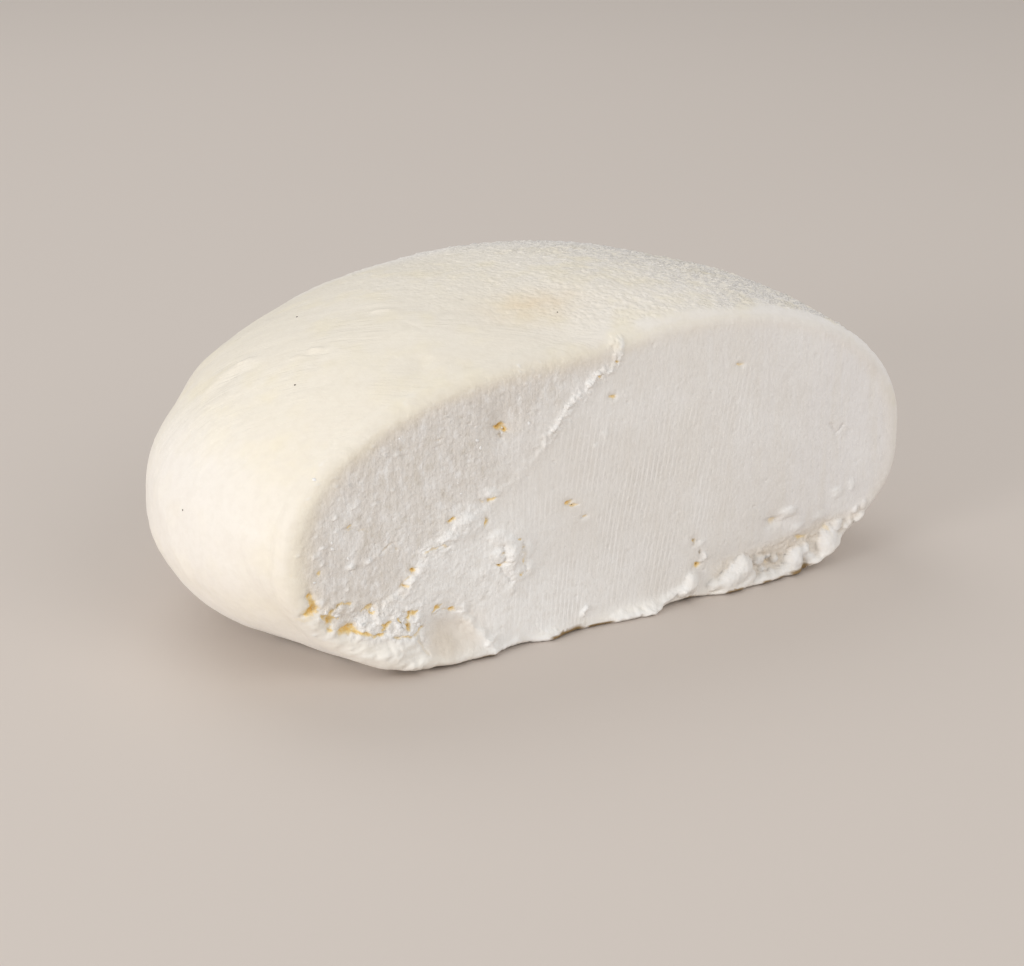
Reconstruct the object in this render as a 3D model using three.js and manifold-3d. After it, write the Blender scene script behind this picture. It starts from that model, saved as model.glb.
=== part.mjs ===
// A cut round of fresh pressed white curd cheese (paneer), lying on its flat base.
// Units are millimetres, +Z is up, and the upright knife-cut face looks along -Y.
// The origin is under the middle of the cheese, on the surface it rests on.

import * as THREE from 'three';
import { mergeVertices } from 'three/addons/utils/BufferGeometryUtils.js';
import Module from 'manifold-3d';

// ---- the whole round, measured from its upright middle axis ----
const ROUND_RADIUS = 86;          // mean radius at the widest level
const CUT_DISTANCE = 43;          // from the middle axis to the plane of the cut
const HEIGHT = 77;                // top of the dome above the base
const WIDEST_LEVEL = 30.5;        // height at which the sides reach furthest out
const BELOW_BASE = 15;            // how far the lower curve would run on below the flat base
const UPPER_ROUNDNESS = 2.34;     // exponents of the curves above and below the widest level:
const LOWER_ROUNDNESS = 1.96;     // 2 is an ellipse, more is squarer

// The plan is a circle made uneven by waves: turns in a full round, cosine and sine share.
const PLAN_WAVES = [
  [2, 0.099, -0.020],
  [3, -0.070, -0.049],
  [4, -0.011, 0.0145],
];

// The widths of the features below are measured from the middle of the cheese, left of the middle axis.
const AXIS_X = 5.8;

// ---- edge between the rind and the cut ----
const EDGE_RADIUS_SIDE = 3.4;     // soft edge along the top and the left end
const EDGE_RADIUS_RIGHT = 4.6;    // the right end of the cut rolls round further
const EDGE_RADIUS_BASE = 1.2;     // nearly sharp along the base

// ---- relief of the cut face, as x and z on the face ----
// Two ragged breaks where the curd tore instead of being sliced, each from its top down.
const UPPER_TEAR = [[3, 72], [1, 64], [-7, 60], [-17, 49], [-22, 42]];
const LOWER_TEAR = [[-29, 38], [-42, 35.5], [-47, 29.5], [-55, 21.5], [-63, 17]];
const TEAR_RISE = 1.5;
const TEAR_REACH = 14;            // the raised side sinks back to the face over this distance
const TEAR_EDGE = 3.2;            // half width of the step itself

// Rounded rises (+) and hollows (-): x, z, half width, half height, rise.
const SWELLINGS = [
  [-25.5, 23, 6, 7, 1.4],         // curds left standing near the middle
  [-54, 3, 22, 7, 3.6],           // smooth slab pressed forward at the foot
  [-40, 8, 9, 8, -2.6],           // dished break beside the slab
  [-30, 6, 3, 7, 1.2],            // rim of that dish
  [-70, 15, 8, 3, -2.0],          // crumbled crack above the slab
  [-57, 11, 7, 2.5, -1.8],
  [-28, 54.5, 3, 2.6, -1.8],      // open pits
  [-9.5, 32.7, 3, 2.4, -1.6],
  [51, 16, 5, 3.5, -1.4],
  [38, 7, 9, 4.5, -2.6],          // broken foot at the right, filled by clinging curds
  [57, 6, 11, 5.5, -3.4],
  [70, 9, 7, 6, -3.0],
];

// Curds that cling to the broken foot: x, z, half length, half height, half depth, tilt in degrees.
const CURDS = [
  [25.8, 4.2, 3.0, 3.6, 3.0, 60],
  [39.5, 4.4, 6.8, 3.6, 4.4, 22],
  [49.0, 2.6, 4.6, 2.4, 3.6, 5],
  [56.5, 4.6, 5.2, 3.0, 3.8, 38],
  [64.5, 4.2, 3.8, 3.0, 3.4, 30],
  [68.5, 8.6, 3.4, 4.4, 3.4, 62],
  [73.5, 14.0, 2.4, 3.2, 2.6, 60],
];
const CURD_SINK = 1.4;            // how far the middle of a curd lies behind the plane of the cut
const CURD_UNEVENNESS = 0.16;     // share of its radius by which a curd is lumpy
const CURD_SEGMENTS = [12, 8];
const FLOOR_GAP = 0.05;           // curds end this far above the plane of the base

// ---- fineness of the faceted solid ----
const POINTS_OVER = 66;           // points of a slice over the dome, foot to foot
const POINTS_UNDER = 22;          // points of a slice along its base
const SLICES = 24;                // upright slices from the cut to the back
const EDGE_STEPS = 3;             // steps round the edge of the cut
const FACE_RINGS = 14;            // rings that fill the cut face
const LEAST_FOOT_ANGLE = 0.28;    // radians either side of straight down, where a slice is off the base
const PLAN_SAMPLES = 720;
const SEARCH_STEPS = 34;
const SEARCH_REACH = 140;

const COLOUR = new THREE.Color().setRGB(0.90, 0.87, 0.80, THREE.SRGBColorSpace);
const ROUGHNESS = 0.55;

// ---- shape of the whole round ----

// Radius of the plan in one direction, at the widest level.
function planRadius(angle) {
  let share = 1;
  for (const [turns, cosine, sine] of PLAN_WAVES) {
    share += cosine * Math.cos(turns * angle) + sine * Math.sin(turns * angle);
  }
  return ROUND_RADIUS * share;
}

// Share of the plan radius that is left at a height.
function heightShare(z) {
  const above = z >= WIDEST_LEVEL;
  const run = above ? HEIGHT - WIDEST_LEVEL : WIDEST_LEVEL + BELOW_BASE;
  const exponent = above ? UPPER_ROUNDNESS : LOWER_ROUNDNESS;
  const rest = 1 - Math.pow(Math.abs(z - WIDEST_LEVEL) / run, exponent);
  return rest > 0 ? Math.pow(rest, 1 / exponent) : 0;
}

function insideRound(x, y, z) {
  if (z < 0 || z > HEIGHT) return false;
  return Math.hypot(x, y) <= planRadius(Math.atan2(y, x)) * heightShare(z);
}

const planPoints = Array.from({ length: PLAN_SAMPLES }, (_, i) => {
  const angle = (2 * Math.PI * i) / PLAN_SAMPLES;
  return [planRadius(angle) * Math.cos(angle), planRadius(angle) * Math.sin(angle)];
});
const backPoint = planPoints.reduce((best, point) => (point[1] > best[1] ? point : best));

// Middle of the plan's width in the upright slice at y.
function middleAt(y) {
  const crossings = [];
  planPoints.forEach(([x0, y0], i) => {
    const [x1, y1] = planPoints[(i + 1) % PLAN_SAMPLES];
    if ((y0 - y) * (y1 - y) < 0) crossings.push(x0 + ((x1 - x0) * (y - y0)) / (y1 - y0));
  });
  return (Math.min(...crossings) + Math.max(...crossings)) / 2;
}

// Length of the way from a point of the slice at y to the outline, along the direction (c, s).
function reach(x, y, z, c, s) {
  let near = 0;
  let far = SEARCH_REACH;
  for (let step = 0; step < SEARCH_STEPS; step++) {
    const half = (near + far) / 2;
    if (insideRound(x + half * c, y, z + half * s)) near = half;
    else far = half;
  }
  return near;
}

// Directions of one slice's points: over the dome from the right foot to the left, then along the base.
function sliceDirections(middle, y) {
  const down = -Math.PI / 2;
  const right = Math.max(Math.atan(reach(middle, y, 0, 1, 0) / WIDEST_LEVEL), LEAST_FOOT_ANGLE);
  const left = Math.max(Math.atan(reach(middle, y, 0, -1, 0) / WIDEST_LEVEL), LEAST_FOOT_ANGLE);
  const over = 2 * Math.PI - right - left;
  const width = Math.tan(left) + Math.tan(right);
  const directions = [];
  for (let i = 0; i < POINTS_OVER; i++) directions.push(down + right + (over * i) / POINTS_OVER);
  for (let i = 0; i < POINTS_UNDER; i++) {
    directions.push(Math.atan2(-1, (width * i) / POINTS_UNDER - Math.tan(left)));
  }
  return directions;
}

// ---- relief of the cut ----

// Distance to a torn line, positive on its right and lower side.
function sideDistance(x, z, line) {
  let nearest = Infinity;
  let side = 1;
  for (let i = 0; i + 1 < line.length; i++) {
    const [startX, startZ] = line[i];
    const runX = line[i + 1][0] - startX;
    const runZ = line[i + 1][1] - startZ;
    const along = ((x - startX) * runX + (z - startZ) * runZ) / (runX ** 2 + runZ ** 2);
    const share = THREE.MathUtils.clamp(along, 0, 1);
    const offX = x - startX - share * runX;
    const offZ = z - startZ - share * runZ;
    if (Math.hypot(offX, offZ) < nearest) {
      nearest = Math.hypot(offX, offZ);
      side = runX * offZ - runZ * offX > 0 ? 1 : -1;
    }
  }
  return nearest * side;
}

function tear(x, z, line) {
  const distance = sideDistance(x, z, line);
  const step = THREE.MathUtils.smoothstep(distance, -TEAR_EDGE, TEAR_EDGE);
  return TEAR_RISE * step * Math.exp(-Math.abs(distance) / TEAR_REACH);
}

// How far the cut face stands forward of its plane, with x measured from the middle axis.
function faceRelief(x, z) {
  const faceX = x + AXIS_X;
  let rise = tear(faceX, z, UPPER_TEAR) + tear(faceX, z, LOWER_TEAR);
  for (const [middleX, middleZ, halfWidth, halfHeight, height] of SWELLINGS) {
    const across = (faceX - middleX) / halfWidth;
    const up = (z - middleZ) / halfHeight;
    rise += height * Math.exp(-(across ** 2) - up ** 2);
  }
  return rise;
}

// Radius of the edge of the cut, in one direction from the middle of the face.
function edgeRadius(direction) {
  const rightShare = Math.max(0, Math.cos(direction)) ** 2;
  const baseShare = Math.sqrt(Math.max(0, -Math.sin(direction)));
  const side = THREE.MathUtils.lerp(EDGE_RADIUS_SIDE, EDGE_RADIUS_RIGHT, rightShare);
  return THREE.MathUtils.lerp(side, EDGE_RADIUS_BASE, baseShare);
}

// ---- the solid, as rings of points from the cut to the back ----

// Point on the edge of the cut: turn 0 lies on the face, and a quarter turn lies on the rind.
function edgePoint(middle, direction, turn) {
  const radius = edgeRadius(direction);
  const c = Math.cos(direction);
  const s = Math.sin(direction);
  const full = reach(middle, radius - CUT_DISTANCE, WIDEST_LEVEL, c, s);
  const out = full - radius * (1 - Math.sin(turn));
  return [middle + out * c, radius * (1 - Math.cos(turn)) - CUT_DISTANCE, WIDEST_LEVEL + out * s];
}

// Moves a point of the face forward by the relief, all of it along the base and none where the rind begins.
function withRelief([x, y, z], direction, turn) {
  const baseShare = Math.sqrt(Math.max(0, -Math.sin(direction)));
  const share = THREE.MathUtils.lerp(Math.cos(turn), 1, baseShare);
  return [x, y - share * faceRelief(x, z), z];
}

function faceAndEdgeRings(middle) {
  const directions = sliceDirections(middle, -CUT_DISTANCE);
  const rings = [];
  for (let ring = 1; ring < FACE_RINGS; ring++) {
    const share = ring / FACE_RINGS;
    rings.push(directions.map((direction) => {
      const [x, y, z] = edgePoint(middle, direction, 0);
      const inner = [middle + (x - middle) * share, y, WIDEST_LEVEL + (z - WIDEST_LEVEL) * share];
      return withRelief(inner, direction, 0);
    }));
  }
  for (let step = 0; step <= EDGE_STEPS; step++) {
    const turn = ((Math.PI / 2) * step) / EDGE_STEPS;
    const onEdge = (direction) => withRelief(edgePoint(middle, direction, turn), direction, turn);
    rings.push(directions.map(onEdge));
  }
  return rings;
}

function sliceRings() {
  const rings = [];
  const first = EDGE_RADIUS_RIGHT - CUT_DISTANCE;
  for (let slice = 1; slice < SLICES; slice++) {
    const y = first + (backPoint[1] - first) * Math.sin((Math.PI / 2) * (slice / SLICES));
    const middle = middleAt(y);
    rings.push(sliceDirections(middle, y).map((direction) => {
      const out = reach(middle, y, WIDEST_LEVEL, Math.cos(direction), Math.sin(direction));
      const z = WIDEST_LEVEL + out * Math.sin(direction);
      return [middle + out * Math.cos(direction), y, z < FLOOR_GAP ? 0 : z];
    }));
  }
  return rings;
}

function roundGeometry() {
  const middle = middleAt(-CUT_DISTANCE);
  const rings = [...faceAndEdgeRings(middle), ...sliceRings()];
  const start = [middle, -CUT_DISTANCE - faceRelief(middle, WIDEST_LEVEL), WIDEST_LEVEL];
  const points = [start, ...rings.flat(), [...backPoint, WIDEST_LEVEL]];
  const count = rings[0].length;
  const at = (ring, i) => 1 + ring * count + (i % count);
  const triangles = [];
  for (let i = 0; i < count; i++) {
    triangles.push(0, at(0, i), at(0, i + 1));
    triangles.push(points.length - 1, at(rings.length - 1, i + 1), at(rings.length - 1, i));
    for (let ring = 0; ring + 1 < rings.length; ring++) {
      triangles.push(at(ring, i), at(ring + 1, i), at(ring + 1, i + 1));
      triangles.push(at(ring, i), at(ring + 1, i + 1), at(ring, i + 1));
    }
  }
  const geometry = new THREE.BufferGeometry();
  geometry.setAttribute('position', new THREE.Float32BufferAttribute(points.flat(), 3));
  geometry.setIndex(triangles);
  return geometry;
}

// ---- clinging curds ----

function curdGeometry([x, z, halfLength, halfHeight, halfDepth, tilt], index) {
  const sphere = new THREE.SphereGeometry(1, ...CURD_SEGMENTS);
  sphere.deleteAttribute('uv');
  sphere.deleteAttribute('normal');
  const curd = mergeVertices(sphere);
  const place = curd.attributes.position;
  const point = new THREE.Vector3();
  for (let i = 0; i < place.count; i++) {
    point.fromBufferAttribute(place, i);
    const waveX = Math.sin(2.3 * point.x + 1.7 * index);
    const waveZ = Math.sin(2.9 * point.z + 0.8 * index);
    const lump = waveX + waveZ * Math.cos(2.1 * point.y);
    point.multiplyScalar(1 + (CURD_UNEVENNESS / 2) * lump);
    place.setXYZ(i, point.x, point.y, point.z);
  }
  curd.scale(halfLength, halfDepth, halfHeight);
  curd.rotateY(-THREE.MathUtils.degToRad(tilt));
  curd.translate(x - AXIS_X, CURD_SINK - CUT_DISTANCE, z);
  for (let i = 0; i < place.count; i++) place.setZ(i, Math.max(place.getZ(i), FLOOR_GAP));
  return curd;
}

// ---- joining into one solid ----

const wasm = await Module();
wasm.setup();

function toManifold(geometry) {
  return new wasm.Manifold(new wasm.Mesh({
    numProp: 3,
    vertProperties: new Float32Array(geometry.attributes.position.array),
    triVerts: new Uint32Array(geometry.index.array),
  }));
}

function toGeometry(manifold) {
  const mesh = manifold.getMesh();
  const geometry = new THREE.BufferGeometry();
  geometry.setAttribute('position', new THREE.Float32BufferAttribute(mesh.vertProperties, mesh.numProp));
  geometry.setIndex(Array.from(mesh.triVerts));
  return geometry;
}

let solid = toManifold(roundGeometry());
CURDS.forEach((curd, index) => {
  solid = solid.add(toManifold(curdGeometry(curd, index)));
});

const geometry = toGeometry(solid);
geometry.computeBoundingBox();
const box = geometry.boundingBox;
geometry.translate(-(box.min.x + box.max.x) / 2, -(box.min.y + box.max.y) / 2, -box.min.z);
geometry.computeVertexNormals();

const cheese = new THREE.Mesh(geometry, new THREE.MeshStandardMaterial({
  color: COLOUR,
  roughness: ROUGHNESS,
  metalness: 0,
}));
cheese.name = 'paneer';

const group = new THREE.Group();
group.add(cheese);

export default group;
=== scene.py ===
import itertools
import math

import bmesh
import bpy
import numpy as np
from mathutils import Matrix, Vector


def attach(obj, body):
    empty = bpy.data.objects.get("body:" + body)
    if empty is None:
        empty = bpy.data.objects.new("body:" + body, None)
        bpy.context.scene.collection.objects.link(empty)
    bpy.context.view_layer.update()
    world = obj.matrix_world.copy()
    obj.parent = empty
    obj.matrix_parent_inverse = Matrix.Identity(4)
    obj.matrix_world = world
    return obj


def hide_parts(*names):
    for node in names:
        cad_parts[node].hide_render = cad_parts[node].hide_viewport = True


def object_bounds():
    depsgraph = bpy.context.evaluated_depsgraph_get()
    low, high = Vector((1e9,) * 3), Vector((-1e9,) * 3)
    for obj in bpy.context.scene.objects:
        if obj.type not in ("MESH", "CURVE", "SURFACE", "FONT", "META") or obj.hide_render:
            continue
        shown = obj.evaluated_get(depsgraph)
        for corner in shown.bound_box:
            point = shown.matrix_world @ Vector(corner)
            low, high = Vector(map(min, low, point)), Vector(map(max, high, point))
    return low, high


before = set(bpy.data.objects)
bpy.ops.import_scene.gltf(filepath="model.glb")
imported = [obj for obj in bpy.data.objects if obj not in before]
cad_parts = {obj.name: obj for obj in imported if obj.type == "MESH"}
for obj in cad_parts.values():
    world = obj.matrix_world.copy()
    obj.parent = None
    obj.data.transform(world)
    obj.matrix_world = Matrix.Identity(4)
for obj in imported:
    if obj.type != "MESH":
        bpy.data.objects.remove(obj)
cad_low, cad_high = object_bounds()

bl_info = {
    "name": "Cut round of paneer",
    "version": (1, 0, 0),
    "blender": (4, 5, 0),
    "location": "3D View > Sidebar > Paneer",
    "description": "Builds a cut round of fresh pressed white cheese around its packed solid",
    "category": "Object",
}

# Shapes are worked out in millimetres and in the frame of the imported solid, then scaled to metres.
MM = 0.001
NODE = "paneer"
BODY = "root"

# ---- the whole round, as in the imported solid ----
ROUND_RADIUS = 86.0
CUT_DISTANCE = 43.0
HEIGHT = 77.0
WIDEST_LEVEL = 30.5
BELOW_BASE = 15.0
UPPER_ROUNDNESS = 2.34
LOWER_ROUNDNESS = 1.96
PLAN_WAVES = ((2, 0.099, -0.020), (3, -0.070, -0.049), (4, -0.011, 0.0145))
EDGE_RADIUS_SIDE = 4.6
EDGE_RADIUS_BASE = 1.2
EDGE_RADIUS_CORNER = 7.5     # where the lower left of the cut rolls over into the rind
CORNER_DIRECTION = math.radians(200.0)
CORNER_WIDTH = math.radians(15.0)

# ---- fineness of the dense mesh, before it is thinned ----
POINTS_OVER = 1060
POINTS_UNDER = 330
FACE_RINGS = 160
EDGE_STEPS = 12
BEHIND_STEPS = 15
BEHIND_MARGIN = 2.5
FRONT_SLICES = 92
BACK_SLICES = 84
FRONT_DEPTH = 50.0
LEAST_FOOT_ANGLE = 0.28
SEARCH_STEPS = 24
SEARCH_REACH = 140.0
PLAN_SAMPLES = 1440
BODY_TRIANGLES = 190000

# ---- torn line of the cut, from the top down: x and z ----
TORN_LINE = (
    (3.2, 73.5), (1.0, 64.4), (-7.2, 60.0), (-15.3, 51.3), (-23.4, 43.7), (-34.0, 36.8),
    (-40.6, 34.7), (-48.5, 28.5), (-53.8, 21.7), (-63.0, 17.0),
)
TEAR_RISE = 0.85
TEAR_REACH = 13.0

# Rounded rises (+) and hollows (-) of the cut: x, z, half width, half height, rise.
SWELLINGS = (
    (-25.6, 23.5, 5.0, 7.0, 0.8),
    (-38.0, 34.6, 6.0, 4.0, 0.6),
    (-57.0, 3.5, 19.0, 5.5, 3.4),
    (-42.0, 9.0, 7.5, 6.0, -2.3),
    (-66.0, 17.0, 8.0, 3.0, -1.2),
    (-28.2, 55.8, 4.0, 5.0, -0.9),
    (38.0, 7.5, 9.0, 4.0, -0.9),
    (55.0, 5.5, 10.0, 4.5, -1.6),
    (68.0, 9.0, 7.0, 5.0, -1.4),
    (52.0, 16.0, 6.0, 4.0, -0.7),
    (-53.0, 5.5, 4.0, 3.5, -0.9),
    (-34.0, 0.0, 5.0, 3.0, 1.8),
    (-15.0, 0.0, 4.5, 2.6, 1.7),
    (8.0, 0.0, 7.0, 2.6, 1.4),
    (14.0, 0.0, 3.2, 2.4, 1.5),
    (-41.5, 0.0, 4.0, 2.8, 1.8),
)

# Soft white lumps of curd in the cut: x, z, half width, half height, rise.
LUMPS = (
    (-25.9, 24.0, 1.5, 3.2, 1.1), (-29.5, 28.8, 2.4, 1.7, 0.7), (-27.0, 27.6, 1.4, 1.2, 0.6),
    (-29.8, 24.6, 1.6, 1.3, 0.6), (-24.6, 18.6, 2.0, 1.5, 0.7), (-25.8, 15.8, 1.2, 1.3, 0.4),
    (-33.5, 20.8, 2.4, 1.4, 0.4), (-20.8, 19.4, 1.2, 1.6, 0.5), (-21.2, 24.0, 1.1, 2.0, 0.4),
    (-31.2, 39.6, 2.5, 1.9, 0.7), (-38.3, 35.4, 2.6, 1.7, 0.7), (-41.4, 31.5, 1.7, 0.9, 1.0),
    (-36.0, 37.6, 1.6, 0.9, 0.5), (-43.9, 28.4, 1.3, 1.1, 0.6), (-34.6, 33.0, 1.5, 1.2, 0.4),
    (-52.7, 23.2, 1.9, 2.6, 0.7), (-62.9, 30.0, 1.1, 0.9, 1.0), (-60.6, 31.0, 0.9, 0.6, 0.6),
    (-56.6, 45.6, 0.7, 0.5, 0.5), (-60.6, 43.2, 1.1, 0.5, 0.4), (-70.8, 42.0, 0.8, 0.7, 0.8),
    (-70.7, 38.6, 0.8, 0.7, 0.7), (-73.8, 35.6, 1.1, 0.6, 0.7), (-67.2, 29.8, 1.1, 0.8, 0.9),
    (-74.3, 32.0, 1.0, 0.7, 0.7), (-66.0, 43.4, 1.0, 0.5, 0.5), (-67.1, 48.8, 0.6, 1.1, 0.5),
    (-64.7, 48.3, 0.6, 0.9, 0.4), (-55.5, 53.4, 1.0, 0.9, 0.6), (-58.1, 53.9, 0.7, 0.6, 0.4),
    (-75.7, 38.3, 0.7, 0.6, 0.5), (4.0, 69.2, 1.3, 1.8, 0.6), (3.2, 66.6, 1.2, 1.2, 0.5),
    (2.8, 64.4, 1.1, 0.7, 0.5), (0.4, 63.0, 1.4, 0.9, 0.5), (-3.1, 63.1, 1.0, 0.5, 0.7),
    (-4.9, 61.4, 1.0, 0.9, 0.6), (-7.2, 57.9, 1.0, 0.8, 0.4), (-10.6, 55.2, 1.2, 1.0, 0.5),
    (-14.0, 52.4, 1.3, 1.0, 0.5), (-17.0, 48.6, 1.1, 0.9, 0.4), (-0.2, 48.2, 1.2, 1.6, 0.3),
    (-2.6, 45.8, 1.0, 1.0, 0.25), (-65.0, 16.0, 2.6, 1.4, 0.8), (-61.0, 15.2, 1.8, 1.6, 0.9),
    (-56.0, 15.9, 1.3, 0.9, 0.7), (-51.0, 13.6, 1.8, 1.5, 0.8), (-74.8, 23.3, 1.4, 1.2, 0.6),
    (-70.0, 17.0, 1.5, 0.9, 0.5), (-55.6, 12.4, 1.2, 0.8, 0.6), (55.5, 17.6, 2.2, 1.2, 0.4),
    (71.0, 19.6, 1.6, 1.3, 0.5), (75.6, 20.6, 1.2, 1.6, 0.4), (66.0, 14.0, 2.0, 1.2, 0.5),
    (59.0, 12.6, 1.8, 1.0, 0.4), (28.9, 15.0, 0.9, 0.8, 0.3), (30.2, 10.8, 0.9, 1.2, 0.4),
)

# Small pits: x, z, half width, half height, depth, share of amber.
PITS = (
    (-28.4, 54.8, 1.2, 0.7, 1.5, 1.0),
    (-27.0, 53.9, 0.7, 0.5, 1.0, 1.0),
    (-28.3, 52.6, 0.5, 0.9, 0.8, 0.25),
    (-10.3, 33.2, 0.8, 0.7, 1.5, 1.0),
    (-8.6, 32.3, 1.0, 0.4, 0.9, 1.0),
    (-44.7, 55.0, 0.5, 0.4, 0.5, 0.6),
    (-54.4, 54.5, 0.5, 0.5, 0.4, 0.4),
    (-67.6, 39.3, 0.5, 0.3, 0.4, 0.7),
    (-31.8, 38.2, 0.5, 0.4, 0.4, 0.5),
    (-33.7, 38.6, 0.6, 0.4, 0.4, 0.5),
    (-2.2, 62.4, 0.6, 0.3, 0.7, 0.6),
    (2.6, 64.9, 0.8, 0.3, 0.7, 0.5),
    (-5.6, 29.0, 0.8, 0.6, 0.6, 0.4),
    (-41.8, 35.5, 1.1, 0.4, 0.8, 0.9),
    (-33.0, 33.4, 0.4, 1.3, 0.9, 0.8),
    (-31.0, 38.4, 1.2, 0.4, 0.5, 0.5),
    (-28.9, 22.2, 1.2, 0.4, 1.0, 1.0),
    (-28.4, 24.6, 0.9, 0.5, 0.5, 0.4),
    (-23.7, 27.4, 0.6, 0.4, 0.5, 0.7),
    (-22.8, 24.8, 0.4, 1.5, 0.5, 0.4),
    (-22.9, 21.6, 0.5, 0.9, 0.6, 0.5),
    (-23.5, 18.9, 0.7, 0.5, 0.6, 0.7),
    (-51.8, 25.4, 0.7, 0.5, 0.7, 0.9),
    (-53.8, 22.2, 0.6, 0.4, 0.7, 0.9),
    (26.4, 15.8, 0.6, 0.9, 0.9, 0.7),
    (28.6, 12.5, 0.5, 0.7, 0.7, 0.4),
    (27.8, 9.3, 0.8, 0.6, 1.0, 1.0),
    (51.4, 15.7, 2.1, 1.2, 1.1, 0.30),
    (-77.1, 21.4, 1.9, 1.3, 0.9, 1.0),
    (-77.6, 25.3, 0.8, 0.7, 0.5, 0.8),
    (-78.6, 19.6, 2.4, 1.5, 0.2, 0.28),
    (-81.0, 30.5, 1.2, 0.8, 0.1, 0.25),
    (-75.3, 30.1, 0.6, 0.6, 0.4, 0.8),
    (-72.7, 18.0, 0.8, 1.5, 0.8, 1.0),
    (-73.7, 19.4, 0.9, 0.5, 0.5, 0.8),
    (-67.9, 14.9, 1.7, 1.0, 0.8, 1.0),
    (-62.7, 19.0, 1.2, 0.9, 0.6, 0.6),
    (-62.0, 17.8, 0.6, 0.5, 0.5, 0.9),
    (-59.2, 14.2, 1.1, 0.5, 0.7, 1.0),
    (-52.8, 15.5, 0.9, 0.6, 0.6, 0.9),
    (-53.5, 12.6, 0.5, 1.1, 0.6, 0.9),
    (-45.2, 14.7, 0.9, 0.4, 0.5, 0.9),
    (-53.8, 22.2, 0.6, 0.5, 0.5, 0.9),
    (38.7, 58.2, 1.3, 0.5, 0.6, 0.4),
    (1.8, 56.7, 1.0, 0.7, 0.8, 0.5),
    (-41.2, 13.4, 0.9, 0.4, 0.6, 0.8),
    (50.5, 4.9, 1.3, 1.3, 1.0, 0.3),
    (61.0, 9.3, 2.4, 0.9, 0.8, 0.4),
    (69.0, 9.9, 1.0, 1.6, 0.8, 0.3),
)

# Cracks: half width, depth, share of amber, then x and z of a few points along each.
CRACKS = (
    (0.7, 1.2, 1.0, ((-77.4, 25.1), (-76.6, 22.7), (-77.0, 21.2), (-78.6, 20.6))),
    (0.35, 0.8, 0.8, ((-72.7, 19.6), (-71.2, 21.3), (-69.5, 21.7), (-67.5, 21.0))),
    (0.45, 0.9, 0.8, ((-74.6, 19.6), (-73.2, 18.5), (-70.6, 18.3))),
    (0.45, 0.9, 0.9, ((-72.6, 18.3), (-72.8, 15.4))),
    (0.8, 1.2, 1.0, ((-70.2, 15.0), (-68.4, 14.6), (-67.0, 15.6))),
    (0.4, 1.0, 0.9, ((-67.4, 14.2), (-64.5, 13.3), (-62.2, 12.2), (-59.5, 12.1))),
    (0.45, 0.9, 0.9, ((-59.7, 13.2), (-58.9, 14.6), (-57.5, 14.4))),
    (0.4, 0.9, 0.9, ((-53.6, 13.9), (-52.9, 15.4), (-51.0, 15.6))),
    (0.4, 0.9, 0.8, ((-56.1, 14.8), (-54.2, 13.4), (-53.2, 11.7))),
    (0.35, 1.0, 0.6, ((-57.4, 11.0), (-54.4, 10.3), (-51.6, 9.8), (-50.7, 10.8), (-49.2, 11.3))),
    (0.5, 0.9, 0.25, ((-51.0, 9.8), (-50.1, 6.8), (-49.0, 4.8))),
    (0.35, 0.7, 0.6, ((-64.6, 18.6), (-62.9, 19.4), (-61.7, 19.2))),
    (0.35, 0.6, 0.8, ((-46.6, 14.3), (-44.4, 15.6))),
    (0.3, 0.5, 0.3, ((-46.8, 13.4), (-43.0, 13.9), (-38.6, 12.6))),
    (0.3, 0.5, 0.4, ((-55.0, 21.9), (-53.4, 24.2), (-51.8, 25.6))),
    (0.25, 0.4, 0.35, ((-68.4, 38.6), (-65.5, 38.2), (-62.8, 37.2))),
    (0.25, 0.5, 0.30, ((-60.6, 30.4), (-58.8, 32.0), (-57.2, 33.1), (-56.2, 32.6), (-55.5, 31.2))),
    (0.3, 0.5, 0.25, ((-22.8, 26.4), (-22.5, 22.6), (-21.6, 19.0))),
    (0.3, 0.5, 0.15, ((-28.2, 26.4), (-27.9, 23.0), (-28.9, 20.4), (-26.0, 17.6))),
    (0.5, 0.6, 0.1, ((68.2, 38.0), (70.2, 35.2), (71.6, 37.0))),
    (0.3, 0.5, 0.45, ((-48.4, 29.2), (-45.4, 30.1), (-42.4, 29.7))),
)

# Rims and lips that stand up: half width, rise, share of white, then x and z of a few points along each.
LIPS = (
    (0.9, 0.55, 0.15, ((-69.0, 9.8), (-63.0, 7.6), (-57.0, 6.8))),
    (0.8, 0.45, 0.15, ((-61.0, 3.6), (-55.0, 2.6), (-51.0, 3.4))),
    (1.2, 0.7, 0.5, ((-38.6, 12.4), (-35.6, 8.0), (-32.4, 3.7), (-30.6, 0.4))),
    (1.1, 0.8, 0.7, ((3.6, 1.2), (10.6, 1.4), (15.0, 1.2), (19.0, 2.6), (23.0, 4.0))),
    (0.5, 0.7, 1.0, ((-6.0, 4.3), (-4.9, 5.8))),
    (0.7, 0.6, 0.9, ((-32.9, 4.2), (-30.8, 4.6))),
    (0.6, 0.3, 0.4, ((-50.0, 29.8), (-46.0, 31.0), (-42.8, 31.6))),
    (0.8, 0.5, 0.7, ((-28.0, 1.0), (-24.0, 1.6))),
)

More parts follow.
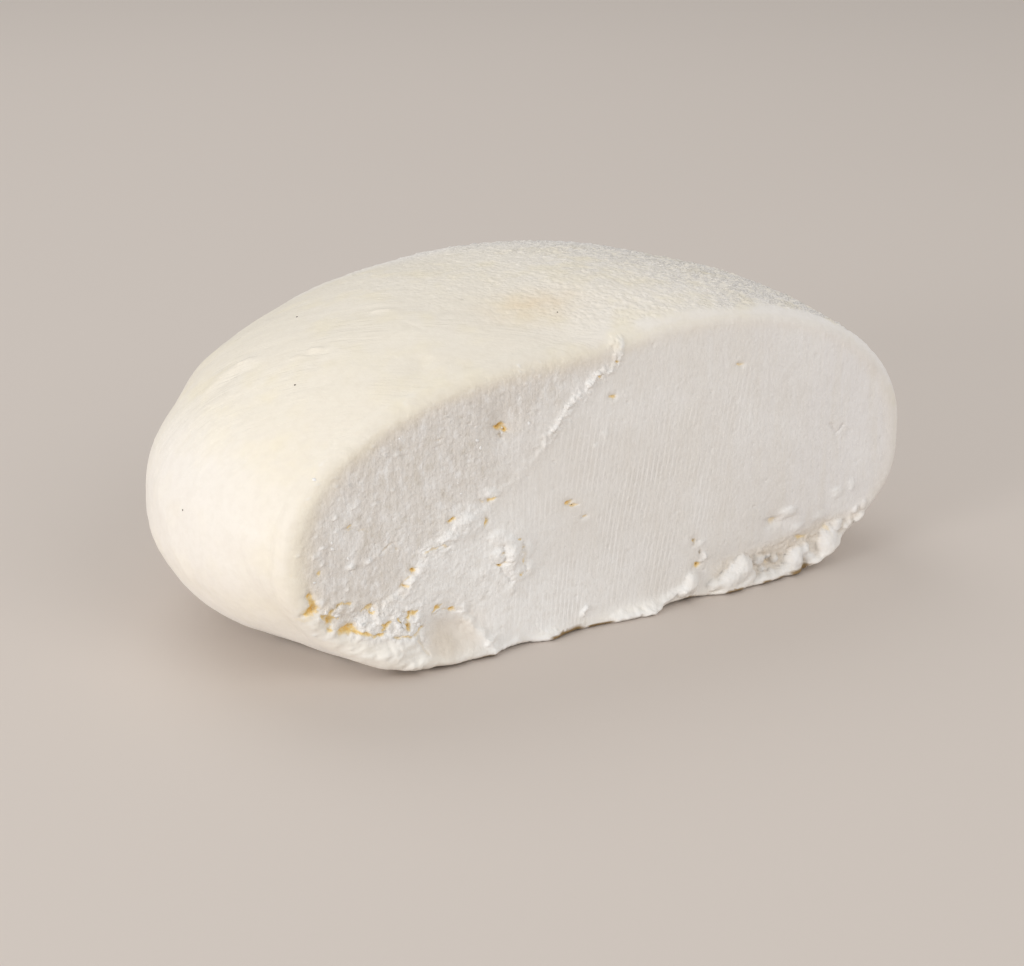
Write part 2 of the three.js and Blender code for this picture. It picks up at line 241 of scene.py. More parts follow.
# Folds of the rind: half width, rise, then points along each in the round.
FOLDS = (
    (1.6, 0.45, ((-77.0, -13.5, 58.5), (-72.0, -13.5, 62.3), (-68.0, -15.0, 64.6))),
    (0.9, 0.45, ((-69.5, -14.4, 63.8), (-67.4, -15.8, 64.9))),
    (1.5, -0.32, ((-78.5, -17.0, 57.6), (-73.0, -17.5, 61.6), (-68.0, -19.5, 64.6))),
    (2.2, 0.30, ((-84, -19, 51.5), (-78, -22, 57), (-72, -26, 61.4))),
    (1.8, -0.25, ((-85, -34, 54), (-79, -33, 59), (-73, -35, 62.6))),
    (2.6, 0.40, ((-94, -17, 40), (-96, -26, 33), (-94, -31, 24))),
    (1.6, -0.40, ((-90, -20, 44), (-93, -28, 34), (-92, -33, 24), (-89, -34, 19))),
    (3.2, -0.22, ((-87, -33, 51), (-90, -39, 43), (-91, -44, 35), (-88, -48, 28), (-84, -52, 21))),
    (2.6, -0.35, ((-88, -48, 32), (-86, -51, 26), (-82, -53, 20), (-77, -55, 14))),
    (0.6, 0.30, ((-62.8, -26.4, 67.9), (-61.4, -27.0, 68.2))),
    (0.7, 0.42, ((-58.0, -27.4, 69.1), (-56.6, -28.7, 69.5))),
    (0.7, -0.30, ((-59.5, -28.6, 68.6), (-56, -31.2, 69.5))),
    (0.9, 0.40, ((-38.5, -22, 74), (-36.5, -24, 74.2))),
    (0.5, -0.10, ((-38, -28, 74), (-36.5, -34, 73.8), (-35, -40, 73.2))),
    (2.2, -0.35, ((-43.5, -51, 69), (-42, -49, 69.8))),
    (0.7, -0.2, ((-18.5, -45, 74), (-15.5, -45.5, 74.2))),
)
# Places where the whole round is pressed in or drawn out: x, y, z, radius, then the way each is moved.
PUSHES = (
    (-77.0, 11.0, 49.5, 11.0, 1.2, -0.9, -0.25),
    (59.0, -15.0, 70.0, 12.0, 0.3, 0.0, 0.4),
    (74.0, -46.0, 63.0, 10.0, -0.45, 0.15, -0.32),
    (91.0, -56.0, 37.0, 13.0, 0.65, -0.3, 0.1),
    (-71.5, -38.5, 3.0, 9.0, 2.3, -0.3, 1.1),
    (86.0, -59.0, 20.0, 8.0, 0.9, -0.4, 0.0),
)
# Dark specks in the rind: x, y, radius.
SPECKS = ((-50.1, -4.8, 0.19), (-67.1, -37.2, 0.19), (-93.4, -31.0, 0.17), (-4.0, -46.0, 0.15))
# Brown under the lower edge of the cut, partly the underside's skin and partly painted shadow of the gap
# where the edge is lifted: from x, to x, how high it shows.
UNDERSIDE_SHADOW_LINES = (
    (-57.0, -50.0, 1.4), (-47.5, -38.0, 1.0), (-36.0, -30.0, 1.2), (-15.5, -5.5, 1.4), (-4.5, 3.0, 1.1),
    (24.5, 27.0, 1.0), (36.0, 41.0, 1.4), (47.0, 50.0, 1.3), (51.4, 54.6, 1.3), (56.6, 63.0, 2.2),
    (66.0, 70.5, 1.0),
)
SPECK_CORE_COLOUR = (0.02, 0.012, 0.006)
STAIN = (-7.0, -39.5, 11.0, 7.0)   # x, y, half width, half depth, on the top of the dome

# Broad places of the cut: x, z, half width, half height.
PALE_FOOT = (-14.0, 6.0, 18.0, 13.0)
PLATEAU = (-36.0, 19.0, 21.0, 19.0)
DISH = (-41.0, 6.5, 8.0, 6.0)
SMEAR = (-40.0, 21.0, 11.0, 10.0)
CALM = (-16.0, 42.0, 14.0, 14.0)
KNIFE_MARKED = (8.0, 27.0, 32.0, 28.0)

# Pitches of the fine marks, in metres.
CLOTH_CELL = 0.00128
KNIFE_PITCH = 0.00143

# Most strewn grains and crumbs on a square metre of cut.
GRAIN_DENSITY = 24000.0
CRUMB_DENSITY = 30000.0

# Lamps: azimuth and elevation in degrees, distance and width in metres.
LAMPS = {
    "key": (-75.0, 12.0, 1.1, 0.45),
    "fill": (10.0, 35.0, 1.3, 0.9),
    "back": (180.0, 55.0, 1.3, 0.9),
}
FLOOR_HALF_WIDTH = 3.0

# The flat layout, one unit square: room for the rind, then the cut and the base in a row above it.
LAYOUT_MARGIN = 0.01
LAYOUT_OF_RIND = (0.98, 0.70)
LAYOUT_ROW = 0.735
LAYOUT_BASE_START = 0.64
LAYOUT_CUT_SCALE = 0.0032
LAYOUT_BASE_SCALE = 0.0018

# Lumps of curd that bulge from the broken foot of the cut:
# x, z, half length, half height, tilt in degrees, how far forward.
BULGES = (
    (25.9, 4.8, 3.3, 2.2, 62, 2.0), (24.4, 3.2, 2.6, 2.0, 20, 1.4),
    (39.2, 4.2, 6.6, 3.0, 20, 2.8), (42.0, 6.0, 2.9, 2.9, 60, 2.9), (34.0, 3.2, 3.2, 1.5, 8, 1.7),
    (39.6, 1.0, 7.6, 2.2, 4, 2.1), (43.6, 3.0, 2.4, 2.4, 60, 2.3),
    (47.6, 6.0, 1.9, 1.4, 12, 1.3), (50.4, 6.2, 1.5, 1.0, 30, 1.0), (52.8, 5.0, 1.3, 1.0, 50, 1.1),
    (48.4, 3.6, 1.6, 1.1, 0, 1.1),
    (50.4, 1.0, 7.6, 2.0, 2, 2.2), (55.4, 2.2, 2.6, 1.4, 20, 2.1),
    (58.5, 4.0, 4.0, 2.5, 46, 2.8), (57.8, 1.4, 3.6, 1.9, 6, 2.3),
    (62.0, 5.8, 2.2, 1.7, 50, 1.8), (63.2, 3.6, 1.8, 2.2, 60, 1.5),
    (69.4, 5.9, 4.9, 3.4, 78, 2.9), (72.0, 4.6, 3.4, 2.0, 84, 2.3),
    (65.6, 2.2, 3.6, 1.6, 8, 2.0), (69.4, 1.8, 3.4, 1.8, 10, 2.1), (73.4, 3.0, 2.2, 2.4, 60, 1.2),
    (72.0, 10.3, 1.6, 1.3, 30, 1.2), (74.3, 9.8, 1.2, 1.0, 0, 0.9), (75.9, 10.4, 1.0, 0.9, 0, 0.7),
    (78.6, 11.2, 1.8, 1.2, 20, 1.1), (77.4, 13.9, 1.2, 0.8, 60, 0.6), (79.8, 14.6, 1.0, 1.4, 0, 0.5),
    (28.6, 9.8, 0.9, 0.8, 0, 0.4), (30.0, 11.4, 0.8, 1.1, 0, 0.4), (55.6, 17.0, 3.2, 1.6, 12, 0.45),
)

# ---------------------------------------------------------------- numbers and noise

def smooth(low, high, value):
    """0 below low, 1 above high and smooth between."""
    share = np.clip((value - low) / (high - low), 0.0, 1.0)
    return share * share * (3.0 - 2.0 * share)


def hills(points, seed):
    """Smooth random hills of about -1 to 1, one unit apart."""
    rng = np.random.default_rng(seed)
    table = rng.permutation(256)
    slopes = rng.normal(size=(256, 3))
    slopes /= np.linalg.norm(slopes, axis=1)[:, None]
    slopes = slopes.astype(np.float32)
    floor = np.floor(points)
    cell = floor.astype(np.int32)
    part = (points - floor).astype(np.float32)
    blend = part * part * part * (part * (part * 6.0 - 15.0) + 10.0)
    total = np.zeros(len(points), np.float32)
    for corner in itertools.product((0, 1), repeat=3):
        here = cell + np.array(corner, np.int32)
        key = table[here[:, 0] & 255]
        key = table[(key + here[:, 1]) & 255]
        key = table[(key + here[:, 2]) & 255]
        away = part - np.array(corner, np.float32)
        weight = np.ones(len(points), np.float32)
        for axis in range(3):
            weight *= blend[:, axis] if corner[axis] else 1.0 - blend[:, axis]
        total += weight * (away * slopes[key]).sum(1)
    return total * 1.6


def rough(points, size, octaves, seed):
    """Hills of several sizes, each half as wide and half as high as the last."""
    total = 0.0
    for octave in range(octaves):
        total = total + hills(points * (2.0 ** octave / size), seed + octave) / 2.0 ** octave
    return total


def nearest_seed(points, size, seed):
    """Distance to the nearest of strewn seeds, one in each cube of a grid, in sides of the cube."""
    places = np.random.default_rng(seed).random((16, 16, 16, 3))
    scaled = points / size
    cell = np.floor(scaled).astype(int)
    best = np.full(len(points), np.inf)
    for step in itertools.product((-1, 0, 1), repeat=3):
        here = cell + np.array(step)
        away = here + places[here[:, 0] % 16, here[:, 1] % 16, here[:, 2] % 16] - scaled
        best = np.minimum(best, (away * away).sum(1))
    return np.sqrt(best)


def flat_points(x, z):
    return np.stack([x, np.zeros_like(x), z], 1)


def zone(x, z, middle_x, middle_z, half_width, half_height):
    """1 within a broad place of the cut and 0 outside it, with a soft border."""
    return np.exp(-((x - middle_x) / half_width) ** 4 - ((z - middle_z) / half_height) ** 4)


def line_distance(points, line):
    """Distance to a line of points, and the side it is on for points in a plane."""
    line = np.array(line, float)
    best = np.full(len(points), np.inf)
    side = np.ones(len(points))
    for start, end in zip(line[:-1], line[1:]):
        run = end - start
        off = points - start
        share = np.clip(off @ run / (run @ run), 0.0, 1.0)
        off = off - share[:, None] * run
        away = np.sqrt((off * off).sum(1))
        near = away < best
        best[near] = away[near]
        if len(start) == 2:
            turn = run[0] * off[:, 1] - run[1] * off[:, 0]
            side[near] = np.where(turn[near] > 0, 1.0, -1.0)
    return best, side


def scattered_pits(x, z, spacing, chance, radius, seed):
    """Depth share of round pits strewn about a plane, one or none in each square of a grid."""
    rng = np.random.default_rng(seed)
    places = rng.random((64, 64, 4))
    cell_x = np.floor(x / spacing).astype(int)
    cell_z = np.floor(z / spacing).astype(int)
    depth = np.zeros(len(x))
    for step_x, step_z in itertools.product((-1, 0, 1), repeat=2):
        here_x = cell_x + step_x
        here_z = cell_z + step_z
        place = places[here_x % 64, here_z % 64]
        away_x = x - (here_x + place[:, 0]) * spacing
        away_z = z - (here_z + place[:, 1]) * spacing
        size = radius * (0.35 + 0.65 * place[:, 3])
        share = 1.0 - np.sqrt(away_x ** 2 + away_z ** 2) / size
        here = np.where(place[:, 2] < chance, smooth(0.0, 0.9, share), 0.0) * size / radius
        depth = np.maximum(depth, here)
    return depth


# ---------------------------------------------------------------- shape of the whole round

def plan_radius(angle):
    share = 1.0
    for turns, cosine, sine in PLAN_WAVES:
        share = share + cosine * np.cos(turns * angle) + sine * np.sin(turns * angle)
    return ROUND_RADIUS * share


def height_share(z):
    above = z >= WIDEST_LEVEL
    run = np.where(above, HEIGHT - WIDEST_LEVEL, WIDEST_LEVEL + BELOW_BASE)
    exponent = np.where(above, UPPER_ROUNDNESS, LOWER_ROUNDNESS)
    rest = np.clip(1.0 - (np.abs(z - WIDEST_LEVEL) / run) ** exponent, 0.0, 1.0)
    return rest ** (1.0 / exponent)


def inside_round(x, y, z):
    within = np.hypot(x, y) <= plan_radius(np.arctan2(y, x)) * height_share(z)
    return within & (z >= 0.0) & (z <= HEIGHT)


def reach(x, y, z, c, s):
    """Length of the way from points to the outline of their upright slices, along (c, s)."""
    x, y, z, c, s = np.broadcast_arrays(x, y, z, c, s)
    near = np.zeros(x.shape)
    far = np.full(x.shape, SEARCH_REACH)
    for _ in range(SEARCH_STEPS):
        half = (near + far) / 2.0
        within = inside_round(x + half * c, y, z + half * s)
        near = np.where(within, half, near)
        far = np.where(within, far, half)
    return near


PLAN_ANGLES = np.arange(PLAN_SAMPLES) * 2.0 * math.pi / PLAN_SAMPLES
PLAN = plan_radius(PLAN_ANGLES)[:, None] * np.stack([np.cos(PLAN_ANGLES), np.sin(PLAN_ANGLES)], 1)
BACK_POINT = PLAN[PLAN[:, 1].argmax()]
AXIS_X = cad_low.x / MM - PLAN[:, 0].min()
AXIS_Y = cad_high.y / MM - BACK_POINT[1]
CUT_Y = AXIS_Y - CUT_DISTANCE


def middle_at(y):
    """Middle of the plan's width in the upright slice at y."""
    following = np.roll(PLAN, -1, axis=0)
    crossing = (PLAN[:, 1] - y) * (following[:, 1] - y) < 0.0
    start, end = PLAN[crossing], following[crossing]
    x = start[:, 0] + (end[:, 0] - start[:, 0]) * (y - start[:, 1]) / (end[:, 1] - start[:, 1])
    return (x.min() + x.max()) / 2.0


def slice_directions(middle, y):
    """Directions of each slice's points: over the dome from the right foot, then back along the base."""
    right = np.maximum(np.arctan(reach(middle, y, 0.0, 1.0, 0.0) / WIDEST_LEVEL), LEAST_FOOT_ANGLE)[:, None]
    left = np.maximum(np.arctan(reach(middle, y, 0.0, -1.0, 0.0) / WIDEST_LEVEL), LEAST_FOOT_ANGLE)[:, None]
    over_share = np.arange(POINTS_OVER) / POINTS_OVER
    under_share = np.arange(POINTS_UNDER) / POINTS_UNDER
    over = right - math.pi / 2.0 + (2.0 * math.pi - right - left) * over_share
    across = (np.tan(left) + np.tan(right)) * under_share - np.tan(left)
    return np.hstack([over, np.arctan2(-1.0, across)])


def edge_radius(direction):
    base_share = np.sqrt(np.maximum(0.0, -np.sin(direction)))
    corner = np.exp(-((direction % (2.0 * math.pi) - CORNER_DIRECTION) / CORNER_WIDTH) ** 2)
    plain = EDGE_RADIUS_SIDE + (EDGE_RADIUS_BASE - EDGE_RADIUS_SIDE) * base_share
    return plain + np.maximum(EDGE_RADIUS_CORNER - plain, 0.0) * corner


def plain_rings():
    """Rings of points over the plain cut round, with the share of the cut's and of the rind's relief."""
    middle = middle_at(-CUT_DISTANCE)
    direction = slice_directions(np.array([middle]), np.array([-CUT_DISTANCE]))[0]
    radius = edge_radius(direction)
    c, s = np.cos(direction), np.sin(direction)
    base_share = np.sqrt(np.maximum(0.0, -s))
    full = reach(middle, radius - CUT_DISTANCE, WIDEST_LEVEL, c, s)
    rings, cut_share, rind_share = [], [], []
    for ring in range(1, FACE_RINGS):
        out = (full - radius) * (ring / FACE_RINGS) ** 0.8
        y = np.full_like(c, -CUT_DISTANCE)
        rings.append(np.stack([middle + out * c, y, WIDEST_LEVEL + out * s], 1))
        cut_share.append(np.ones_like(c))
        rind_share.append(np.zeros_like(c))
    for step in range(EDGE_STEPS + 1):
        turn = math.pi / 2.0 * step / EDGE_STEPS
        out = full - radius * (1.0 - math.sin(turn))
        y = radius * (1.0 - math.cos(turn)) - CUT_DISTANCE
        rings.append(np.stack([middle + out * c, y, WIDEST_LEVEL + out * s], 1))
        cut_share.append(math.cos(turn) + (1.0 - math.cos(turn)) * base_share)
        rind_share.append(np.full_like(c, math.sin(turn) ** 3))
    first = EDGE_RADIUS_CORNER + BEHIND_MARGIN - CUT_DISTANCE
    front = first + FRONT_DEPTH * np.arange(1, FRONT_SLICES + 1) / FRONT_SLICES
    quarter = math.pi / 2.0 * np.arange(1, BACK_SLICES) / BACK_SLICES
    y = np.concatenate([front, front[-1] + (BACK_POINT[1] - front[-1]) * np.sin(quarter)])
    for step in range(1, BEHIND_STEPS + 1):
        behind = (EDGE_RADIUS_CORNER + BEHIND_MARGIN) * step / BEHIND_STEPS
        middle = middle_at(behind - CUT_DISTANCE)
        direction = slice_directions(np.array([middle]), np.array([behind - CUT_DISTANCE]))[0]
        c, s = np.cos(direction), np.sin(direction)
        away = behind + edge_radius(direction) * (1.0 - step / BEHIND_STEPS)
        out = reach(middle, away - CUT_DISTANCE, WIDEST_LEVEL, c, s)
        rings.append(np.stack([middle + out * c, away - CUT_DISTANCE, WIDEST_LEVEL + out * s], 1))
        cut_share.append(np.zeros_like(c))
        rind_share.append(np.ones_like(c))
    middles = np.array([middle_at(value) for value in y])
    directions = slice_directions(middles, y)
    out = reach(middles[:, None], y[:, None], WIDEST_LEVEL, np.cos(directions), np.sin(directions))
    slices = np.stack([
        middles[:, None] + out * np.cos(directions),
        np.broadcast_to(y[:, None], out.shape),
        WIDEST_LEVEL + out * np.sin(directions),
    ], 2)
    rings = np.concatenate([np.array(rings), slices])
    extra = np.zeros(out.shape)
    return rings, np.concatenate([cut_share, extra]), np.concatenate([rind_share, extra + 1.0])


# ---------------------------------------------------------------- relief and marks of the cut

FACE_MIDDLE = middle_at(-CUT_DISTANCE)
FACE_ANGLES = np.linspace(-math.pi, math.pi, 721)
FACE_REACH = reach(FACE_MIDDLE, -CUT_DISTANCE, WIDEST_LEVEL, np.cos(FACE_ANGLES), np.sin(FACE_ANGLES))


def outline_gap(x, z):
    """How far inside the outline of the cut a point lies."""
    across = x - AXIS_X - FACE_MIDDLE
    up = z - WIDEST_LEVEL
    return np.interp(np.arctan2(up, across), FACE_ANGLES, FACE_REACH) - np.hypot(across, up)


def torn_side(x, z):
    """Ragged distance to the torn line: positive on the lower and right side, where the curd stands up."""
    points = flat_points(x, z)
    warp_x = 1.3 * hills(points / 4.5, 11) + 1.1 * hills(points / 1.6, 12)
    warp_z = 1.3 * hills(points / 4.5, 13) + 1.1 * hills(points / 1.6, 14)
    away, side = line_distance(np.stack([x + warp_x, z + warp_z], 1), TORN_LINE)
    return away * side


def foot_bulges(x, z):
    """How far the lumps at the foot stand forward, each one a soft pillow grown into the next."""
    points = flat_points(x, z)
    bent_x = x + 0.70 * hills(points / 2.6, 26) + 0.16 * hills(points / 1.3, 28)
    bent_z = z + 0.70 * hills(points / 2.6, 27) + 0.16 * hills(points / 1.3, 29)
    total = np.zeros(len(x))
    for middle_x, middle_z, half_length, half_height, tilt, forward in BULGES:
        c, s = math.cos(math.radians(tilt)), math.sin(math.radians(tilt))
        along = ((bent_x - middle_x) * c + (bent_z - middle_z) * s) / half_length
        across = ((bent_z - middle_z) * c - (bent_x - middle_x) * s) / half_height
        total += (forward * np.clip(1.0 - along ** 2 - across ** 2, 0.0, 1.0) ** 0.7) ** 4
    return total ** 0.25


def cut_relief(x, z):
    """How far the cut stands forward of its plane, with the share of each finish that shows there."""
    points = flat_points(x, z)
    torn = torn_side(x, z)
    left = 1.0 - smooth(-7.0, 4.0, torn + 2.5 * hills(points / 9.0, 16))
    left = np.maximum(left, 1.0 - smooth(-72.0, -64.0, x))
    fade = smooth(-70.0, -60.0, x)
    upper = smooth(45.0, 52.0, z)
    strength = fade * (0.25 + np.maximum(0.42 * upper, 0.55 - 0.55 * smooth(32.0, 39.0, z)))
    ridge = TEAR_REACH - (TEAR_REACH - 4.5) * upper
    rise = TEAR_RISE * strength * smooth(-0.55, 0.6, torn) * np.exp(-np.maximum(torn, 0.0) / ridge)
    broken = smooth(-0.25, 0.55, hills(points / 2.1, 15))
    white = 0.05 * strength * broken * np.exp(-((torn - 0.3) / 1.3) ** 2)
    white += 0.36 * strength * smooth(-0.8, 2.5, torn) * np.exp(-np.maximum(torn, 0.0) / 16.0)
    white += 0.75 * zone(x, z, *PALE_FOOT)
    dish = zone(x, z, *DISH)
    white *= 1.0 - 0.75 * dish
    plateau = zone(x, z, *PLATEAU) * (1.0 - dish)
    white += 0.55 * plateau * smooth(-1.8, 2.2, torn + 1.2 * hills(points / 2.4, 39))
    torn_near = np.abs(torn) < 3.0
    torn_crumbs = np.clip(0.62 - nearest_seed(points[torn_near], 1.0, 38), -0.2, 0.5)
    torn_strength = strength * (0.35 + 0.65 * upper) * np.exp(-((torn - 0.6) / 1.4) ** 2)
    rise[torn_near] += 1.3 * torn_strength[torn_near] * torn_crumbs
    rise += 0.17 * strength * np.exp(-((torn - 0.4) / 1.8) ** 2) * rough(points, 1.1, 2, 17)
    coarse = 0.32 + 0.50 * left * (1.0 - 0.5 * smooth(-24.0, -2.0, x))
    coarse += 0.35 * strength * np.exp(-(torn / (3.0 - 1.2 * upper)) ** 2)
    coarse *= 1.0 - 0.45 * zone(x, z, *CALM)
    smear = zone(x, z, *SMEAR)
    coarse += 0.45 * smear
    white += 0.25 * smear

    bend_x = x + 1.2 * hills(points / 7.0, 21)
    bend_z = z + 1.0 * hills(points / 7.0, 22)
    for middle_x, middle_z, half_width, half_height, height in SWELLINGS:
        share = np.exp(-((bend_x - middle_x) / half_width) ** 2 - ((bend_z - middle_z) / half_height) ** 2)
        rise += height * share
        if half_width < 6.5 and height > 0.0:
            coarse += 0.5 * share
            white += 0.30 * share
    near_x = x + 0.5 * hills(points / 1.5, 23) + 0.25 * hills(points / 0.7, 30)
    near_z = z + 0.5 * hills(points / 1.5, 24) + 0.25 * hills(points / 0.7, 34)
    for middle_x, middle_z, half_width, half_height, height in LUMPS:
        smaller = 0.72 if middle_x < -36.0 or middle_z > 30.0 else 1.0
        across = (near_x - middle_x) / (half_width * smaller)
        up = (near_z - middle_z) / (half_height * smaller)
        share = np.exp(-(across ** 2 + up ** 2) ** 1.5)
        rise += 0.8 * height * smaller * share
        white += min(1.0, (0.70 if -36.0 < middle_x < -18.0 else 0.40) + 0.50 * height) * share
    foot_break = smooth(30.0, 36.0, x) * (1.0 - smooth(6.0, 11.0, z - 0.12 * (x - 40.0)))
    bulge = foot_bulges(x, z)
    rise += bulge
    white += (0.20 - 0.14 * smooth(60.0, 68.0, x)) * smooth(0.15, 1.0, bulge)
    coarse += 0.6 * foot_break * (1.0 - 0.6 * smooth(0.5, 1.5, bulge))
    below = z + 0.22 * (x + 60.0)
    crumbly = smooth(-82.0, -76.0, x) * (1.0 - smooth(-52.0, -46.0, x))
    crumbly *= smooth(9.5, 11.5, below) * (1.0 - smooth(17.0, 22.0, below))
    coarse += 1.1 * crumbly
    white += 0.35 * crumbly
    slab = (1.0 - smooth(9.0, 12.5, below + 0.8 * hills(points / 3.0, 25)))
    slab *= 1.0 - smooth(-51.0, -46.5, x + 0.25 * z)
    coarse *= 1.0 - 0.3 * np.maximum(slab, dish)

    warp = np.stack([
        x + 0.6 * hills(points / 1.5, 31),
        z + 0.6 * hills(points / 1.5, 32),
    ], 1)
    amber = np.zeros(len(x))
    # Tan, partly painted shade: a darker band along the rounded edge of the cut, in the hollows of the
    # broken foot and in the dish; around cracks and pits it is the tan of dried whey.
    tan = 0.5 * np.exp(-(np.maximum(outline_gap(x, z) - 2.2, 0.0) / 2.6) ** 2) * smooth(8.0, 20.0, z)
    tan *= 0.7 - 0.22 * smooth(-30.0, 25.0, x)
    tan += 0.75 * foot_break * (1.0 - smooth(0.1, 1.1, bulge)) + 0.25 * crumbly + 0.65 * dish
    tan += 0.30 * foot_break * smooth(0.2, 0.6, hills(points / 1.6, 35))
    for half_width, depth, tint, line in CRACKS:
        away, _ = line_distance(warp, line)
        rise -= 0.6 * depth * np.exp(-(away / (0.85 * half_width)) ** 2)
        amber = np.maximum(amber, tint * np.exp(-(away / (0.95 * half_width)) ** 2))
        tan += 0.35 * tint * np.exp(-(away / (3.0 * half_width)) ** 2)
        white += 0.20 * tint * np.exp(-((away - 2.6 * half_width) / (1.3 * half_width)) ** 2)
    for middle_x, middle_z, half_width, half_height, depth, tint in PITS:
        across = (warp[:, 0] - middle_x) / half_width
        up = (warp[:, 1] - middle_z) / half_height
        share = np.exp(-across ** 2 - up ** 2)
        rise -= depth * share
        # Painted shade: the deeper pits get a dark core, carried as amber above 1 and shown brown.
        shaded_pit_core = 0.35 * smooth(0.70, 0.95, share) if middle_x > -55.0 else 0.0
        amber = np.maximum(amber, tint * (np.clip(1.15 * share, 0.0, 1.0) + shaded_pit_core))
        tan += 0.3 * tint * np.exp(-(across / 2.5) ** 2 - (up / 2.5) ** 2)
    # Painted shadow: the left of the dish darkened as if shaded by the slab.
    tan += 0.70 * np.exp(-((x + 46.0) / 4.0) ** 2 - ((z - 5.0) / 4.5) ** 2)
    for half_width, height, pale, line in LIPS:
        away, _ = line_distance(warp, line)
        share = np.exp(-(away / half_width) ** 2)
        rise += height * share * (1.0 + 0.5 * hills(points / 1.5, 33))
        white += pale * share

    knife = 0.22 + 0.95 * zone(x, z, *KNIFE_MARKED)
    knife *= (0.65 + 0.6 * hills(flat_points(x / 9.0, z / 22.0), 43)).clip(0.1, 1.2)
    knife *= (1.0 - smooth(38.0, 60.0, x)) * (1.0 - 0.9 * np.maximum(slab, dish))
    knife *= 1.0 - np.clip(coarse - 0.9, 0.0, 1.0)

    grain = 0.07 * rough(points, 3.4, 2, 51) + 0.045 * rough(points, 1.1, 2, 53)
    lumps = np.abs(hills(points / 2.2, 55)) - 0.35
    rise += coarse * grain + 0.08 * np.clip(coarse - 0.6, 0.0, 1.6) * lumps
    rise += slab * (0.60 * rough(points, 3.6, 2, 57) + 0.24 * rough(points, 1.3, 2, 59))
    rise += dish * (0.22 * rough(points, 3.2, 2, 65) + 0.08 * rough(points, 1.2, 2, 66))
    bent = points + 0.3 * hills(points / 0.9, 36)[:, None]
    crumbs = np.clip(0.62 - nearest_seed(bent, 1.7, 37), -0.2, 0.5)
    rise += crumbs * (0.65 * crumbly + 0.7 * foot_break * (1.0 - smooth(0.3, 1.5, bulge)) + 0.08 * left)
    specks = scattered_pits(x + 0.3 * grain, z + 0.2 * grain, 2.6, 0.5, 0.8, 63)
    fresh = np.clip(1.2 - outline_gap(x, z) / 22.0, 0.15, 1.0) * left
    specks *= fresh * smooth(-0.2, 0.5, hills(points / 8.0, 64))
    rise += 0.45 * specks
    white += 0.9 * specks
    pits = scattered_pits(x + 0.2 * grain, z, 2.3, 0.42, 0.85, 61)
    rise -= 0.40 * pits * np.clip(coarse - 0.3, 0.0, 1.2)
    rise -= 0.20 * scattered_pits(x, z, 6.0, 0.35, 0.7, 62)
    amber = np.maximum(amber, 0.30 * pits * crumbly)
    base_strip = 0.45 * np.exp(-np.maximum(z - 1.0, 0.0) / 2.4)
    return rise, {
        "amber": np.clip(amber, 0.0, 1.35),
        "white": np.clip(white, 0.0, 1.0),
        "cream": np.clip(slab + base_strip, 0.0, 1.0),
        "tan": np.clip(tan, 0.0, 1.0),
        "coarse": np.clip(coarse / 2.0, 0.0, 1.0),
        "knife": np.clip(knife, 0.0, 1.0),
        "left": left,
    }


def foot_lift(x):
    """How far the lower edge of the cut is lifted off the floor, in ragged steps."""
    points = flat_points(x, np.full_like(x, 4.0))
    steps = hills(points / 9.0, 71) + 0.6 * hills(points / 3.4, 72)
    broken = 1.0 * np.exp(-((x - 23.5) / 6.5) ** 4)
    return 0.5 * smooth(0.05, 0.75, steps) + 0.18 * np.abs(hills(points / 1.4, 73)) + broken


# ---------------------------------------------------------------- relief of the rind

STREAK_COSINE = math.cos(math.radians(37.0))
STREAK_SINE = math.sin(math.radians(37.0))


def weave_share(x, y, z):
    """Where the cloth has left its weave: the right and the hidden back, fading towards the smooth left."""
    ragged = hills(np.stack([x, y, z], 1) / 11.0, 81)
    level = x + 0.45 * (y + 40.0) + 9.0 * ragged
    over = (0.40 * smooth(-34.0, 4.0, level) + 0.60 * smooth(5.0, 65.0, level)) * smooth(30.0, 60.0, z)
    over = over * smooth(1.0, 6.0, y - CUT_Y + 1.5 * ragged)
    behind = 0.75 * smooth(26.0, 62.0, y + 14.0 * ragged)
    return np.maximum(over, behind) * smooth(8.0, 22.0, z)


def rind_relief(points):
    """How far the rind stands out: slow unevenness, folds, fine drawn lines and the weave of the cloth."""
    x, y, z = points.T
    rise = 0.55 * hills(points / 38.0, 91) + 0.28 * hills(points / 15.0, 92)
    for half_width, height, line in FOLDS:
        away, _ = line_distance(points + 0.6 * hills(points / 6.0, 93)[:, None], line)
        rise += height * np.exp(-(away / half_width) ** 2)
    weave = weave_share(x, y, z)
    plain = 1.0 - np.minimum(2.0 * weave, 1.0)
    level = STREAK_SINE * x + STREAK_COSINE * y
    onward = STREAK_COSINE * x - STREAK_SINE * y
    drawn = np.stack([onward / 20.0, level / 2.2, z / 20.0], 1)
    drawn_wide = np.stack([onward / 26.0, level / 5.0, z / 26.0], 1)
    rise += plain * (0.06 * hills(drawn, 94) + 0.10 * hills(drawn_wide, 95))
    rise += plain * 0.06 * hills(points / 2.6, 96)
    pebbled = weave > 0.01
    woven = points[pebbled]
    pebbles = 0.62 - nearest_seed(woven + 0.35 * hills(woven / 1.5, 97)[:, None], 1.9, 98)
    strength = (0.8 + 0.6 * hills(woven / 6.0, 99)).clip(0.2, 1.4)
    rise[pebbled] += weave[pebbled] * strength * (1.05 * pebbles + 0.12 * hills(woven / 1.0, 100))
    return rise


# ---------------------------------------------------------------- meshes

